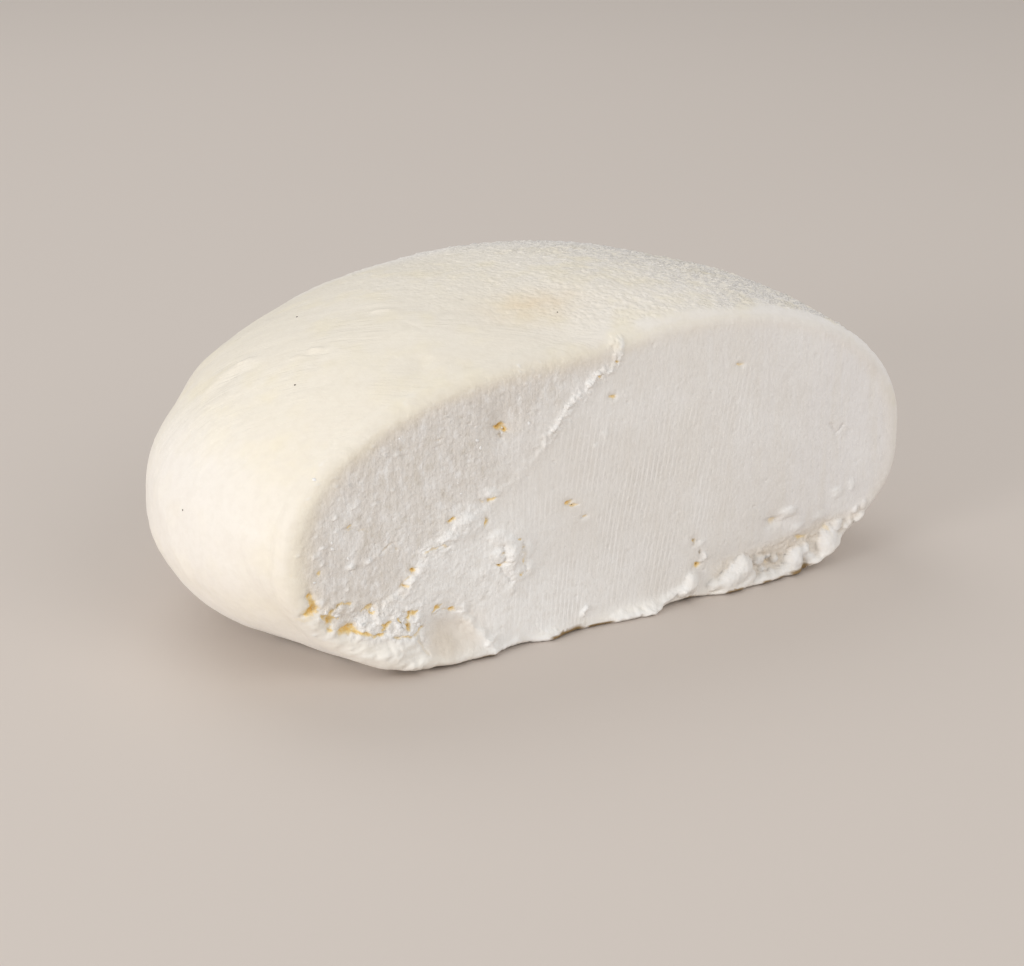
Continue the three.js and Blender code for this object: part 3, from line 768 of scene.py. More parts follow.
def triangle_mesh(name, points, triangles):
    """A mesh from points in millimetres and triangles."""
    mesh = bpy.data.meshes.new(name)
    mesh.vertices.add(len(points))
    mesh.vertices.foreach_set("co", (np.asarray(points, np.float32) * MM).ravel())
    mesh.loops.add(3 * len(triangles))
    mesh.loops.foreach_set("vertex_index", np.asarray(triangles, np.int32).ravel())
    mesh.polygons.add(len(triangles))
    mesh.polygons.foreach_set("loop_start", np.arange(0, 3 * len(triangles), 3, dtype=np.int32))
    mesh.polygons.foreach_set("use_smooth", np.ones(len(triangles), bool))
    mesh.update(calc_edges=True)
    mesh.validate()
    return mesh


def place(name, mesh, material):
    """A finished piece at the origin, riding on the body and showing one material."""
    piece = bpy.data.objects.new(name, mesh)
    bpy.context.scene.collection.objects.link(piece)
    mesh.materials.clear()
    mesh.materials.append(material)
    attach(piece, BODY)
    return piece


def mesh_points(mesh):
    points = np.empty(3 * len(mesh.vertices), np.float32)
    mesh.vertices.foreach_get("co", points)
    return points.reshape(-1, 3).astype(float) / MM


def set_attribute(mesh, name, values):
    layer = mesh.attributes.new(name, "FLOAT", "POINT")
    layer.data.foreach_set("value", np.asarray(values, np.float32))


def ring_triangles(ring_count, point_count):
    """Triangles of rings of points, closed at both ends by a first and a last point."""
    ring = np.arange(ring_count - 1)[:, None]
    near = np.arange(point_count)[None, :]
    far = (near + 1) % point_count
    a = 1 + ring * point_count + near
    b = 1 + (ring + 1) * point_count + near
    c = 1 + (ring + 1) * point_count + far
    d = 1 + ring * point_count + far
    sides = np.concatenate([np.stack([a, b, c], 2).reshape(-1, 3), np.stack([a, c, d], 2).reshape(-1, 3)])
    near, far = near[0], far[0]
    last = 1 + ring_count * point_count
    start = np.stack([np.zeros_like(near), 1 + near, 1 + far], 1)
    final = last - point_count
    end = np.stack([np.full_like(near, last), final + far, final + near], 1)
    return np.concatenate([start, sides, end])


def ring_normals(rings):
    along = np.roll(rings, -1, axis=1) - np.roll(rings, 1, axis=1)
    back = np.gradient(rings, axis=0)
    normals = np.cross(along, back)
    normals /= np.linalg.norm(normals, axis=2)[..., None] + 1e-9
    return normals


def body_points():
    """The dense points of the cheese, ring by ring, with all its relief."""
    rings, cut_share, rind_share = plain_rings()
    rings = rings + np.array([AXIS_X, AXIS_Y, 0.0])
    normals = ring_normals(rings)
    if (normals[-20] * (rings[-20] - rings[-20].mean(0))).sum() < 0.0:
        normals = -normals
    moved = rings.copy()

    skin = (rind_share > 0.0) & (rings[..., 2] > 0.01)
    rise = rind_relief(rings[skin])
    rise *= rind_share[skin] * smooth(0.0, 5.0, rings[..., 2][skin])
    moved[skin] += normals[skin] * rise[:, None]

    cut = cut_share > 0.0
    rise, _ = cut_relief(rings[..., 0][cut], rings[..., 2][cut])
    moved[..., 1][cut] -= rise * cut_share[cut]

    for x, y, z, radius, *way in PUSHES:
        away = ((rings - np.array([x, y, z])) ** 2).sum(2) / radius ** 2
        moved += np.exp(-away)[..., None] * np.array(way)

    near_cut = np.exp(-np.maximum(rings[..., 1] - CUT_Y, 0.0) / 5.0) * np.exp(-rings[..., 2] / 2.2)
    lifted = near_cut > 0.02
    moved[..., 2][lifted] += near_cut[lifted] * foot_lift(rings[..., 0][lifted])
    moved[..., 2] = np.clip(moved[..., 2], 0.0, cad_high.z / MM + 1.0)

    start_x = FACE_MIDDLE + AXIS_X
    start_rise, _ = cut_relief(np.array([start_x]), np.array([WIDEST_LEVEL]))
    start = [start_x, CUT_Y - start_rise[0], WIDEST_LEVEL]
    end = [BACK_POINT[0] + AXIS_X, BACK_POINT[1] + AXIS_Y, WIDEST_LEVEL]
    points = np.concatenate([[start], moved.reshape(-1, 3), [end]])
    return points, ring_triangles(*rings.shape[:2])


def thinned(mesh, count):
    """The mesh brought down to about a number of triangles, where it is flattest first."""
    thing = bpy.data.objects.new("dense", mesh)
    bpy.context.scene.collection.objects.link(thing)
    thin = thing.modifiers.new("Thin", "DECIMATE")
    thin.ratio = count / len(mesh.polygons)
    shown = thing.evaluated_get(bpy.context.evaluated_depsgraph_get())
    result = bpy.data.meshes.new_from_object(shown)
    bpy.data.objects.remove(thing)
    bpy.data.meshes.remove(mesh)
    result.polygons.foreach_set("use_smooth", np.ones(len(result.polygons), bool))
    return result


def cut_share_of(points):
    """1 on the cut, 0 on the rind, and soft over the rounded edge between them."""
    x, y, z = points.T
    rise, marks = cut_relief(x, z)
    behind = y - CUT_Y + rise
    wobble = 0.5 * hills(points / 6.0, 101) + 0.2 * hills(points / 1.7, 102)
    turned = behind - 0.55 * np.clip(outline_gap(x, z), 0.0, 12.0) + wobble
    share = 1.0 - smooth(-3.4, 2.2, turned)
    share = np.maximum(share, np.exp(-z / 4.0) * (1.0 - smooth(1.5, 3.5, behind)))
    return np.where(y < CUT_Y + 6.0, share, 0.0), marks


def mark_body(mesh):
    """Attributes that the material reads: how much of each finish a point shows."""
    points = mesh_points(mesh)
    x, y, z = points.T
    share, marks = cut_share_of(points)
    front = 1.0 - smooth(1.5, 5.0, y - CUT_Y)
    middle_x, middle_y, half_width, half_depth = STAIN
    spread = ((x - middle_x) / half_width) ** 2 + ((y - middle_y) / half_depth) ** 2
    stain = np.exp(-spread) * (0.75 + 0.5 * hills(points / 4.0, 111)) * (z > WIDEST_LEVEL)
    for name in ("amber", "white", "cream", "tan", "coarse", "knife", "left"):
        marks[name] = marks[name] * front
    marks["tan"] = marks["tan"] * smooth(0.30, 0.90, share)
    marks["stain"] = np.clip(stain * (1.0 - share), 0.0, 1.0)
    marks["cut"] = share
    marks["weave"] = weave_share(x, y, z) * (1.0 - share)
    # Brown along the lower edge of the cut: painted shadow of the gap under the lifted edge, partly brown
    # underside skin.
    brown = np.zeros(len(points))
    ragged = x + 0.8 * hills(points / 1.2, 112)
    above = z - 0.75 * foot_lift(x) + 0.25 * hills(points / 0.9, 113)
    for start, end, high in UNDERSIDE_SHADOW_LINES:
        line = smooth(start - 0.6, start + 0.8, ragged) * (1.0 - smooth(end - 0.8, end + 0.6, ragged))
        brown = np.maximum(brown, line * (1.0 - smooth(0.70 * high, high, above)))
    marks["brown"] = brown * (1.0 - smooth(3.0, 6.0, y - CUT_Y))
    for name, values in marks.items():
        set_attribute(mesh, name, values)
    return points, share


def unfold_body(mesh, points, share):
    """A flat layout of the surface: the rind as a disc, the cut and the base as they are."""
    corners = np.empty(len(mesh.loops), np.int32)
    mesh.loops.foreach_get("vertex_index", corners)
    corners = corners.reshape(-1, 3)
    x, y, z = points.T
    angle = np.arctan2(y - AXIS_Y, x - AXIS_X)
    span = np.clip(np.hypot(x - AXIS_X, y - AXIS_Y) / plan_radius(angle), 0.0, 1.0)
    travel = np.where(z >= WIDEST_LEVEL, span, 2.0 - span)
    above = np.linspace(HEIGHT, WIDEST_LEVEL, 400)
    heights = np.concatenate([above, np.linspace(WIDEST_LEVEL, 0.0, 200)[1:]])
    spans = height_share(heights)
    steps = np.hypot(np.diff(spans * ROUND_RADIUS), np.diff(heights))
    length = np.concatenate([[0.0], np.cumsum(steps)]) / ROUND_RADIUS
    order = np.where(np.arange(len(heights)) < len(above), spans, 2.0 - spans)
    out = np.interp(travel, order, length) * plan_radius(angle)
    disc = np.stack([out * np.cos(angle), out * np.sin(angle)], 1)
    is_cut = share[corners].mean(1) > 0.5
    is_base = (points[:, 2][corners].max(1) < 0.4) & ~is_cut
    layout = disc[corners]
    rind_low = disc[corners][~is_cut & ~is_base].reshape(-1, 2).min(0)
    rind_high = disc[corners][~is_cut & ~is_base].reshape(-1, 2).max(0)
    scale = (np.array(LAYOUT_OF_RIND) / (rind_high - rind_low)).min()
    layout = (layout - rind_low) * scale + LAYOUT_MARGIN
    cut_layout = (np.stack([x, z], 1) - [cad_low.x / MM, 0.0]) * LAYOUT_CUT_SCALE
    layout[is_cut] = (cut_layout + [LAYOUT_MARGIN, LAYOUT_ROW])[corners][is_cut]
    base_layout = (np.stack([x, y], 1) - [cad_low.x / MM, cad_low.y / MM]) * LAYOUT_BASE_SCALE
    layout[is_base] = (base_layout + [LAYOUT_BASE_START, LAYOUT_ROW])[corners][is_base]
    uv = mesh.uv_layers.new(name="OFBake")
    uv.data.foreach_set("uv", layout.reshape(-1).astype(np.float32))


def build_body(material):
    points, triangles = body_points()
    mesh = thinned(triangle_mesh("paneer_body", points, triangles), BODY_TRIANGLES)
    mesh.name = "paneer_body"
    unfold_body(mesh, *mark_body(mesh))
    piece = place("paneer_body", mesh, material)
    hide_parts(NODE)
    return piece


# ---------------------------------------------------------------- materials

class Finish:
    """A material's nodes, made and joined by short calls."""

    def __init__(self, name, settings):
        self.settings = settings
        self.material = bpy.data.materials.new(name)
        self.material.use_nodes = True
        self.tree = self.material.node_tree
        self.shader = self.tree.nodes["Principled BSDF"]
        self.object_place = self.tree.nodes.new("ShaderNodeTexCoord").outputs["Object"]
        parts = self.tree.nodes.new("ShaderNodeSeparateXYZ")
        self.join(self.object_place, parts.inputs[0])
        self.x, self.y, self.z = parts.outputs

    def join(self, source, target):
        if isinstance(source, (int, float)):
            target.default_value = source
        elif isinstance(source, tuple):
            whole = len(source) == len(target.default_value)
            target.default_value = source if whole else (*source, 1.0)
        else:
            self.tree.links.new(source, target)

    def colour(self, name):
        return tuple(getattr(self.settings, name))

    def attribute(self, name):
        node = self.tree.nodes.new("ShaderNodeAttribute")
        node.attribute_name = name
        return node.outputs["Fac"]

    def math(self, operation, first, second=0.0, clamp=False):
        node = self.tree.nodes.new("ShaderNodeMath")
        node.operation = operation
        node.use_clamp = clamp
        self.join(first, node.inputs[0])
        self.join(second, node.inputs[1])
        return node.outputs[0]

    def product(self, first, *others):
        for other in others:
            first = self.math("MULTIPLY", first, other)
        return first

    def total(self, first, *others):
        for other in others:
            first = self.math("ADD", first, other)
        return first

    def divided(self, value, by):
        return self.math("DIVIDE", value, by)

    def span(self, value, low, high, to_low=0.0, to_high=1.0):
        node = self.tree.nodes.new("ShaderNodeMapRange")
        node.interpolation_type = "SMOOTHSTEP"
        for socket, source in zip(node.inputs, (value, low, high, to_low, to_high)):
            self.join(source, socket)
        return node.outputs[0]

    def level(self, direction, start):
        """Distance of a place along a direction, beyond a start."""
        node = self.tree.nodes.new("ShaderNodeVectorMath")
        node.operation = "DOT_PRODUCT"
        self.join(self.object_place, node.inputs[0])
        self.join(direction, node.inputs[1])
        return self.math("SUBTRACT", node.outputs["Value"], start)

    def stretch(self, scale):
        node = self.tree.nodes.new("ShaderNodeMapping")
        self.join(self.object_place, node.inputs["Vector"])
        self.join(scale, node.inputs["Scale"])
        return node.outputs[0]

    def noise(self, size, detail=3.0, rough_share=0.5, place_on=None):
        node = self.tree.nodes.new("ShaderNodeTexNoise")
        self.join(self.object_place if place_on is None else place_on, node.inputs["Vector"])
        self.join(1.0 / size, node.inputs["Scale"])
        self.join(detail, node.inputs["Detail"])
        self.join(rough_share, node.inputs["Roughness"])
        return node.outputs["Fac"]

    def cells(self, size):
        node = self.tree.nodes.new("ShaderNodeTexVoronoi")
        self.join(self.object_place, node.inputs["Vector"])
        self.join(1.0 / size, node.inputs["Scale"])
        return node.outputs["Distance"]

    def mix(self, share, first, second, blend="MIX"):
        node = self.tree.nodes.new("ShaderNodeMix")
        node.data_type = "RGBA"
        node.blend_type = blend
        self.join(share, node.inputs["Factor"])
        self.join(first, node.inputs[6])
        self.join(second, node.inputs[7])
        return node.outputs[2]

    def over(self, under, share, top, blend="MIX"):
        """A share of a tone, or of a named colour, laid over another tone."""
        return self.mix(share, under, self.colour(top) if isinstance(top, str) else top, blend)

    def mix_number(self, share, first, second):
        node = self.tree.nodes.new("ShaderNodeMix")
        node.data_type = "FLOAT"
        self.join(share, node.inputs["Factor"])
        self.join(first, node.inputs[2])
        self.join(second, node.inputs[3])
        return node.outputs[0]

    def combined(self, x, y, z):
        node = self.tree.nodes.new("ShaderNodeCombineXYZ")
        for socket, source in zip(node.inputs, (x, y, z)):
            self.join(source, socket)
        return node.outputs[0]

    def bump(self, height, distance, strength=1.0):
        node = self.tree.nodes.new("ShaderNodeBump")
        self.join(strength, node.inputs["Strength"])
        self.join(distance, node.inputs["Distance"])
        self.join(height, node.inputs["Height"])
        return node.outputs[0]


def cheese_material(settings):
    """Cream rind and greyer cut, told apart by the mesh's own attributes."""
    finish = Finish("fresh_cheese", settings)
    shader = finish.shader
    attribute, noise, span, over = finish.attribute, finish.noise, finish.span, finish.over
    cut, weave, coarse = attribute("cut"), attribute("weave"), attribute("coarse")
    base = over(rind_tone(finish, weave), cut, cut_tone(finish, coarse))
    # A warm band over the rounded edge between rind and cut, stronger at the left: partly warm curd, partly
    # painted shade of the rounding.
    rim = finish.product(span(cut, 0.0, 0.35), span(cut, 0.35, 0.95, 1.0, 0.0))
    rim = finish.product(rim, span(finish.x, -0.010, 0.070, 0.42, 0.12))
    base = over(base, rim, "rind_warm_colour")
    # Tan of dried whey, and painted shade along the rounded edge of the cut, in the foot's hollows and in
    # the dish.
    base = over(base, finish.product(attribute("tan"), 0.55), "tan_colour")
    base = over(base, finish.product(attribute("stain"), 0.95), "stain_colour")
    ragged = span(noise(0.0020, 2.0, 0.6), 0.25, 0.60, 0.45, 1.0)
    base = over(base, finish.product(attribute("cream"), ragged), "slab_colour")
    base = over(base, finish.product(attribute("white"), ragged, 0.9), "curd_colour")
    fine = noise(0.0022, 3.0, 0.6)
    base = over(base, span(fine, 0.30, 0.62, 0.07, 0.0), "shade_colour", "MULTIPLY")
    amber_edge = span(noise(0.0016, 3.0, 0.65), 0.30, 0.55, 0.25, 1.0)
    amber = finish.product(attribute("amber"), amber_edge)
    base = over(base, span(amber, 0.08, 0.70), "amber_colour")
    base = over(base, span(amber, 0.60, 1.05), "amber_deep_colour")
    # Painted shade: the brown core of the deeper pits.
    base = over(base, span(attribute("amber"), 1.02, 1.25, 0.0, 0.8), "brown_colour")
    # Painted shadow line under the lifted lower edge, tinted brown like the underside.
    base = over(base, attribute("brown"), "brown_colour")
    finish.join(base, shader.inputs["Base Color"])
    finish.join(span(noise(0.006, 3.0), 0.3, 0.7, 0.46, 0.62), shader.inputs["Roughness"])
    shader.inputs["Specular IOR Level"].default_value = 0.35
    height = finish.mix_number(cut, rind_height(finish, weave), cut_height(finish, coarse))
    finish.join(finish.bump(height, 0.9 * MM), shader.inputs["Normal"])
    return finish.material


def rind_tone(finish, weave):
    """Cream at the left, cooler towards the right and the far side, paler at the foot as painted light
    against the shade low down.
    """
    span, over = finish.span, finish.over
    unevenness = finish.product(finish.math("SUBTRACT", finish.noise(0.045, 3.0), 0.5), 0.9)
    cooler = finish.math("ADD", span(finish.x, -0.045, 0.080), unevenness, True)
    tone = finish.mix(cooler, finish.colour("rind_colour"), finish.colour("rind_cool_colour"))
    clouds = span(finish.noise(0.012, 3.0), 0.46, 0.70, 0.10, 0.75)
    tone = over(tone, clouds, "rind_warm_colour")
    # Painted shade: the hollows of the cloth's weave tinted warmer and darker.
    hollows = span(finish.cells(CLOTH_CELL), 0.40, 0.80, 0.0, 0.38)
    tone = over(tone, finish.product(hollows, weave), "rind_warm_colour")
    tone = over(tone, span(finish.x, -0.094, -0.076, 0.5, 0.0), "rind_cool_colour")
    beyond = finish.level((-0.266, -0.618, 0.740), 0.0317)
    tone = over(tone, span(beyond, 0.002, 0.022, 0.60, 0.0), "rind_cool_colour")
    # Painted light: the rind made paler low down, against the shade near the floor.
    return over(tone, span(finish.z, 0.003, 0.024, 0.95, 0.0), "rind_foot_colour")


def cut_tone(finish, coarse):
    """Greyer curd with drawn streaks, pale clouds, and where it is coarse pale spots and darker spots of
    painted pore shade.
    """
    noise, span, over = finish.noise, finish.span, finish.over
    left = finish.attribute("left")
    tone = finish.mix(left, finish.colour("cut_colour"), finish.colour("cut_left_colour"))
    tone = over(tone, span(finish.x, 0.020, 0.080), "cut_right_colour")
    streak = noise(0.0035, 3.0, 0.6, finish.stretch((1.0, 1.0, 0.08)))
    tone = over(tone, span(streak, 0.42, 0.70, 0.0, 0.45), "cut_warm_colour")
    thin_streak = noise(0.0013, 2.0, 0.6, finish.stretch((1.0, 1.0, 0.12)))
    tone = over(tone, span(thin_streak, 0.45, 0.75, 0.0, 0.35), "cut_warm_colour")
    tone = over(tone, span(noise(0.016, 3.0), 0.45, 0.75, 0.0, 0.6), "cut_pale_colour")
    mottle = noise(0.0019, 3.0, 0.6, finish.stretch((1.0, 1.0, 0.6)))
    spotted = span(coarse, 0.1, 0.5)
    tone = over(tone, finish.product(span(mottle, 0.50, 0.66), spotted, 0.8), "cut_pale_colour")
    # Painted shade: darker spots where the cut is coarse, standing for its shaded pores.
    return over(tone, finish.product(span(mottle, 0.46, 0.30), spotted, 0.4), "shade_colour")


def rind_height(finish, weave):
    """Millimetres of fine relief on the rind: hair lines along the slices and pebbled cloth marks."""
    noise, product, total, divided = finish.noise, finish.product, finish.total, finish.divided
    bend = product(noise(0.020, 1.0), 0.003)
    level = total(product(finish.x, STREAK_SINE), product(finish.y, STREAK_COSINE), bend)
    onward = finish.math("SUBTRACT", product(finish.x, STREAK_COSINE), product(finish.y, STREAK_SINE))
    drawn = finish.combined(divided(onward, 0.010), divided(level, 0.0011), divided(finish.z, 0.010))
    short = finish.combined(divided(onward, 0.006), divided(level, 0.0007), divided(finish.z, 0.006))
    patch = finish.span(noise(0.018, 1.0), 0.40, 0.62, 0.25, 1.0)
    lines = total(product(noise(1.0, 2.0, 0.5, drawn), 0.24), product(noise(1.0, 1.0, 0.5, short), 0.16))
    bare = finish.math("SUBTRACT", 1.0, product(weave, 2.0), True)
    pebbles = product(finish.span(finish.cells(CLOTH_CELL), 0.05, 0.75, 1.0, 0.0), 0.85)
    pebbles = product(total(pebbles, product(noise(0.0007, 1.0), 0.15)), weave)
    depth = finish.span(weave, 0.25, 0.95, 0.35, 0.85)
    grain = product(noise(0.0008, 1.0, 0.6), 0.06)
    return total(product(lines, patch, bare), grain, product(pebbles, depth))


def cut_height(finish, coarse):
    """Millimetres of fine relief on the cut: knife lines, upright fibres, crumb and pores."""
    noise, product, total, span = finish.noise, finish.product, finish.total, finish.span
    above = finish.math("SUBTRACT", finish.z, 0.030)
    lean = product(span(finish.x, -0.035, 0.005, 0.0, 0.19), above)
    drift = product(noise(0.026, 2.0, 0.5, finish.stretch((1.0, 1.0, 0.45))), 0.0036)
    across = total(finish.math("SUBTRACT", finish.x, lean), drift)
    phase = finish.divided(across, KNIFE_PITCH / (2.0 * math.pi))
    overtone = product(finish.math("SINE", product(phase, 2.0)), 0.3)
    lines = total(finish.math("SINE", phase), overtone)
    shown = product(finish.attribute("knife"), span(noise(0.010, 1.0), 0.35, 0.70, 0.008, 0.045))
    fibre = product(noise(0.0013, 2.0, 0.6, finish.stretch((1.0, 1.0, 0.24))), 0.50)
    crumb = product(noise(0.0011, 2.0, 0.62), 0.62)
    pores = product(span(finish.cells(0.0017), 0.0, 0.45, -1.0, 0.0), 0.20)
    rough_part = product(total(fibre, crumb, pores), total(coarse, 0.08))
    return total(product(lines, shown), rough_part, product(noise(0.0006, 1.0, 0.6), 0.025))


def grain_material(settings):
    """Small dry grains, a little whiter than the cut."""
    finish = Finish("dry_grain", settings)
    cloudy = finish.noise(0.003, 2.0)
    tone = finish.mix(cloudy, finish.colour("curd_colour"), finish.colour("cut_pale_colour"))
    finish.join(tone, finish.shader.inputs["Base Color"])
    finish.shader.inputs["Roughness"].default_value = 0.6
    finish.shader.inputs["Specular IOR Level"].default_value = 0.3
    height = finish.noise(0.0006, 3.0, 0.6)
    finish.join(finish.bump(height, 0.00012, 0.8), finish.shader.inputs["Normal"])
    return finish.material


def speck_material(settings):
    finish = Finish("dark_speck", settings)
    tone = finish.mix(finish.noise(0.0003, 2.0), finish.colour("speck_colour"), SPECK_CORE_COLOUR)
    finish.join(tone, finish.shader.inputs["Base Color"])
    finish.shader.inputs["Roughness"].default_value = 0.7
    return finish.material


def floor_material(settings):
    finish = Finish("pale_floor", settings)
    pale = finish.colour("floor_colour")
    tone = finish.mix(finish.noise(0.4, 2.0), pale, tuple(0.97 * part for part in pale))
    finish.join(tone, finish.shader.inputs["Base Color"])
    finish.shader.inputs["Roughness"].default_value = 0.8
    return finish.material


# ---------------------------------------------------------------- grains and specks

def lump_points(fineness, seed, coarse, fine):
    """A closed lump about one unit in radius: points and triangles."""
    mesh = bpy.data.meshes.new("lump")
    shape = bmesh.new()
    bmesh.ops.create_icosphere(shape, subdivisions=fineness, radius=1.0)
    shape.to_mesh(mesh)
    shape.free()
    points = np.empty(3 * len(mesh.vertices), np.float32)
    mesh.vertices.foreach_get("co", points)
    points = points.reshape(-1, 3).astype(float)
    corners = np.empty(len(mesh.loops), np.int32)
    mesh.loops.foreach_get("vertex_index", corners)
    bpy.data.meshes.remove(mesh)
    moved = points * (1.0 + coarse * hills(points * 1.3 + seed, seed))[:, None]
    moved *= (1.0 + fine * rough(points + seed, 0.55, 3, seed + 3))[:, None]
    return moved, corners.reshape(-1, 3)


def build_specks(body, material):
    """Tiny dark specks that lie in the rind."""
    all_points, all_triangles, count = [], [], 0
    skin = mesh_points(body.data)
    for index, (x, y, radius) in enumerate(SPECKS):
        high = skin[skin[:, 2] > WIDEST_LEVEL]
        nearest = high[np.hypot(high[:, 0] - x, high[:, 1] - y).argmin()]
        points, triangles = lump_points(2, 300 + index, 0.3, 0.1)
        all_points.append(points * radius + nearest)
        all_triangles.append(triangles + count)
        count += len(points)
    mesh = triangle_mesh("rind_specks", np.concatenate(all_points), np.concatenate(all_triangles))
    return place("rind_specks", mesh, material)


def grain_tree():
    """Geometry nodes that strew small lumps over a surface, thickest where an attribute says."""
    tree = bpy.data.node_groups.new("strewn_grains", "GeometryNodeTree")
    faces = tree.interface
    faces.new_socket("Surface", in_out="INPUT", socket_type="NodeSocketGeometry")
    for name, kind in (("Most per square metre", "NodeSocketFloat"), ("Smallest", "NodeSocketFloat"),
                       ("Largest", "NodeSocketFloat"), ("Seed", "NodeSocketInt"),
                       ("Thickness", "NodeSocketFloat"), ("Finish", "NodeSocketMaterial")):
        faces.new_socket(name, in_out="INPUT", socket_type=kind)
    faces.new_socket("Grains", in_out="OUTPUT", socket_type="NodeSocketGeometry")
    new, link = tree.nodes.new, tree.links.new
    given = new("NodeGroupInput")
    result = new("NodeGroupOutput")

    where = new("GeometryNodeInputNamedAttribute")
    where.data_type = "FLOAT"
    where.inputs["Name"].default_value = "grains"
    density = new("ShaderNodeMath")
    density.operation = "MULTIPLY"
    link(where.outputs["Attribute"], density.inputs[0])
    link(given.outputs["Most per square metre"], density.inputs[1])
    scatter = new("GeometryNodeDistributePointsOnFaces")
    link(given.outputs["Surface"], scatter.inputs["Mesh"])
    link(density.outputs[0], scatter.inputs["Density"])
    link(given.outputs["Seed"], scatter.inputs["Seed"])

    lump = new("GeometryNodeMeshIcoSphere")
    lump.inputs["Radius"].default_value = 1.0
    lump.inputs["Subdivisions"].default_value = 2
    hilly = new("ShaderNodeTexNoise")
    hilly.inputs["Scale"].default_value = 1.1
    hilly.inputs["Detail"].default_value = 3.0
    lift = new("ShaderNodeVectorMath")
    lift.operation = "SCALE"
    normal = new("GeometryNodeInputNormal")
    about = new("ShaderNodeMath")
    about.operation = "SUBTRACT"
    about.inputs[1].default_value = 0.5
    taller = new("ShaderNodeMath")
    taller.operation = "MULTIPLY"
    taller.inputs[1].default_value = 2.6
    link(hilly.outputs["Fac"], about.inputs[0])
    link(about.outputs[0], taller.inputs[0])
    link(normal.outputs["Normal"], lift.inputs[0])
    link(taller.outputs[0], lift.inputs["Scale"])
    shaped = new("GeometryNodeSetPosition")
    link(lump.outputs["Mesh"], shaped.inputs["Geometry"])
    link(lift.outputs["Vector"], shaped.inputs["Offset"])
    flatter = new("GeometryNodeTransform")
    stack = new("ShaderNodeCombineXYZ")
    stack.inputs["X"].default_value = 1.0
    stack.inputs["Y"].default_value = 0.6
    link(given.outputs["Thickness"], stack.inputs["Z"])
    link(shaped.outputs["Geometry"], flatter.inputs["Geometry"])
    link(stack.outputs[0], flatter.inputs["Scale"])

    size = new("FunctionNodeRandomValue")
    size.data_type = "FLOAT"
    link(given.outputs["Smallest"], size.inputs[2])
    link(given.outputs["Largest"], size.inputs[3])
    link(given.outputs["Seed"], size.inputs["Seed"])
    spin = new("FunctionNodeRandomValue")
    spin.data_type = "FLOAT"
    spin.inputs[3].default_value = 2.0 * math.pi
    spin.inputs["Seed"].default_value = 5
    turn = new("ShaderNodeCombineXYZ")
    link(spin.outputs[1], turn.inputs["Z"])
    lay = new("FunctionNodeRotateRotation")
    lay.rotation_space = "LOCAL"
    as_turn = new("FunctionNodeEulerToRotation")
    link(turn.outputs[0], as_turn.inputs[0])
    link(scatter.outputs["Rotation"], lay.inputs[0])
    link(as_turn.outputs[0], lay.inputs[1])
    put = new("GeometryNodeInstanceOnPoints")
    link(scatter.outputs["Points"], put.inputs["Points"])
    link(flatter.outputs["Geometry"], put.inputs["Instance"])
    link(lay.outputs[0], put.inputs["Rotation"])
    link(size.outputs[1], put.inputs["Scale"])
    real = new("GeometryNodeRealizeInstances")
    link(put.outputs["Instances"], real.inputs["Geometry"])
    even = new("GeometryNodeSetShadeSmooth")
    link(real.outputs["Geometry"], even.inputs["Geometry"])
    paint = new("GeometryNodeSetMaterial")
    link(even.outputs["Geometry"], paint.inputs["Geometry"])
    link(given.outputs["Finish"], paint.inputs["Material"])
    link(paint.outputs["Geometry"], result.inputs["Grains"])
    return tree


def build_grains(name, body, shares, material, inputs):
    """Strewn grains as one plain mesh, thickest where the shares of the body's points are highest."""
    ground = body.data.copy()
    set_attribute(ground, "grains", shares)
    surface = bpy.data.objects.new(name + "_surface", ground)
    bpy.context.scene.collection.objects.link(surface)
    strewn = surface.modifiers.new("Grains", "NODES")
    strewn.node_group = bpy.data.node_groups.get("strewn_grains") or grain_tree()
    sockets = {item.name: item.identifier for item in strewn.node_group.interface.items_tree
               if item.in_out == "INPUT"}
    for key, value in inputs.items():
        strewn[sockets[key]] = value
    strewn[sockets["Finish"]] = material
    shown = surface.evaluated_get(bpy.context.evaluated_depsgraph_get())
    mesh = bpy.data.meshes.new_from_object(shown)
    surface.modifiers.remove(strewn)
    bpy.data.objects.remove(surface)
    mesh.name = name
    return place(name, mesh, material)


def grain_shares(body):
    """Where grains stand on the cut, and where crumbs lie along its torn and broken places."""
    points = mesh_points(body.data)
    x, _, z = points.T
    share, marks = cut_share_of(points)
    patch = smooth(-0.1, 0.7, hills(points / 8.0, 121))
    left = marks["left"] * (0.25 + 0.75 * patch) * smooth(6.0, 14.0, z) * (1.0 - smooth(56.0, 66.0, z))
    rim = np.exp(-((x + 0.15 * z + 72.0) / 6.0) ** 2) * 0.9
    grains = share * np.clip(left + rim, 0.0, 1.0)
    crumbs = share * np.clip(marks["coarse"] * 2.2 - 1.1, 0.0, 1.0)
    return grains, crumbs


# ---------------------------------------------------------------- stage

def aim(thing, target):
    thing.rotation_euler = (Vector(target) - thing.location).to_track_quat("-Z", "Y").to_euler()


def outward(azimuth, elevation):
    return Vector((
        math.sin(azimuth) * math.cos(elevation),
        -math.cos(azimuth) * math.cos(elevation),
        math.sin(elevation),
    ))


def add_lamp(name, azimuth, elevation, distance, size, power):
    light = bpy.data.lights.new(name, "AREA")
    light.shape = "DISK"
    light.size = size
    light.energy = power
    lamp = bpy.data.objects.new(name, light)
    bpy.context.scene.collection.objects.link(lamp)
    lamp.location = outward(math.radians(azimuth), math.radians(elevation)) * distance
    lamp.visible_camera = False
    aim(lamp, (0.0, 0.0, 0.03))


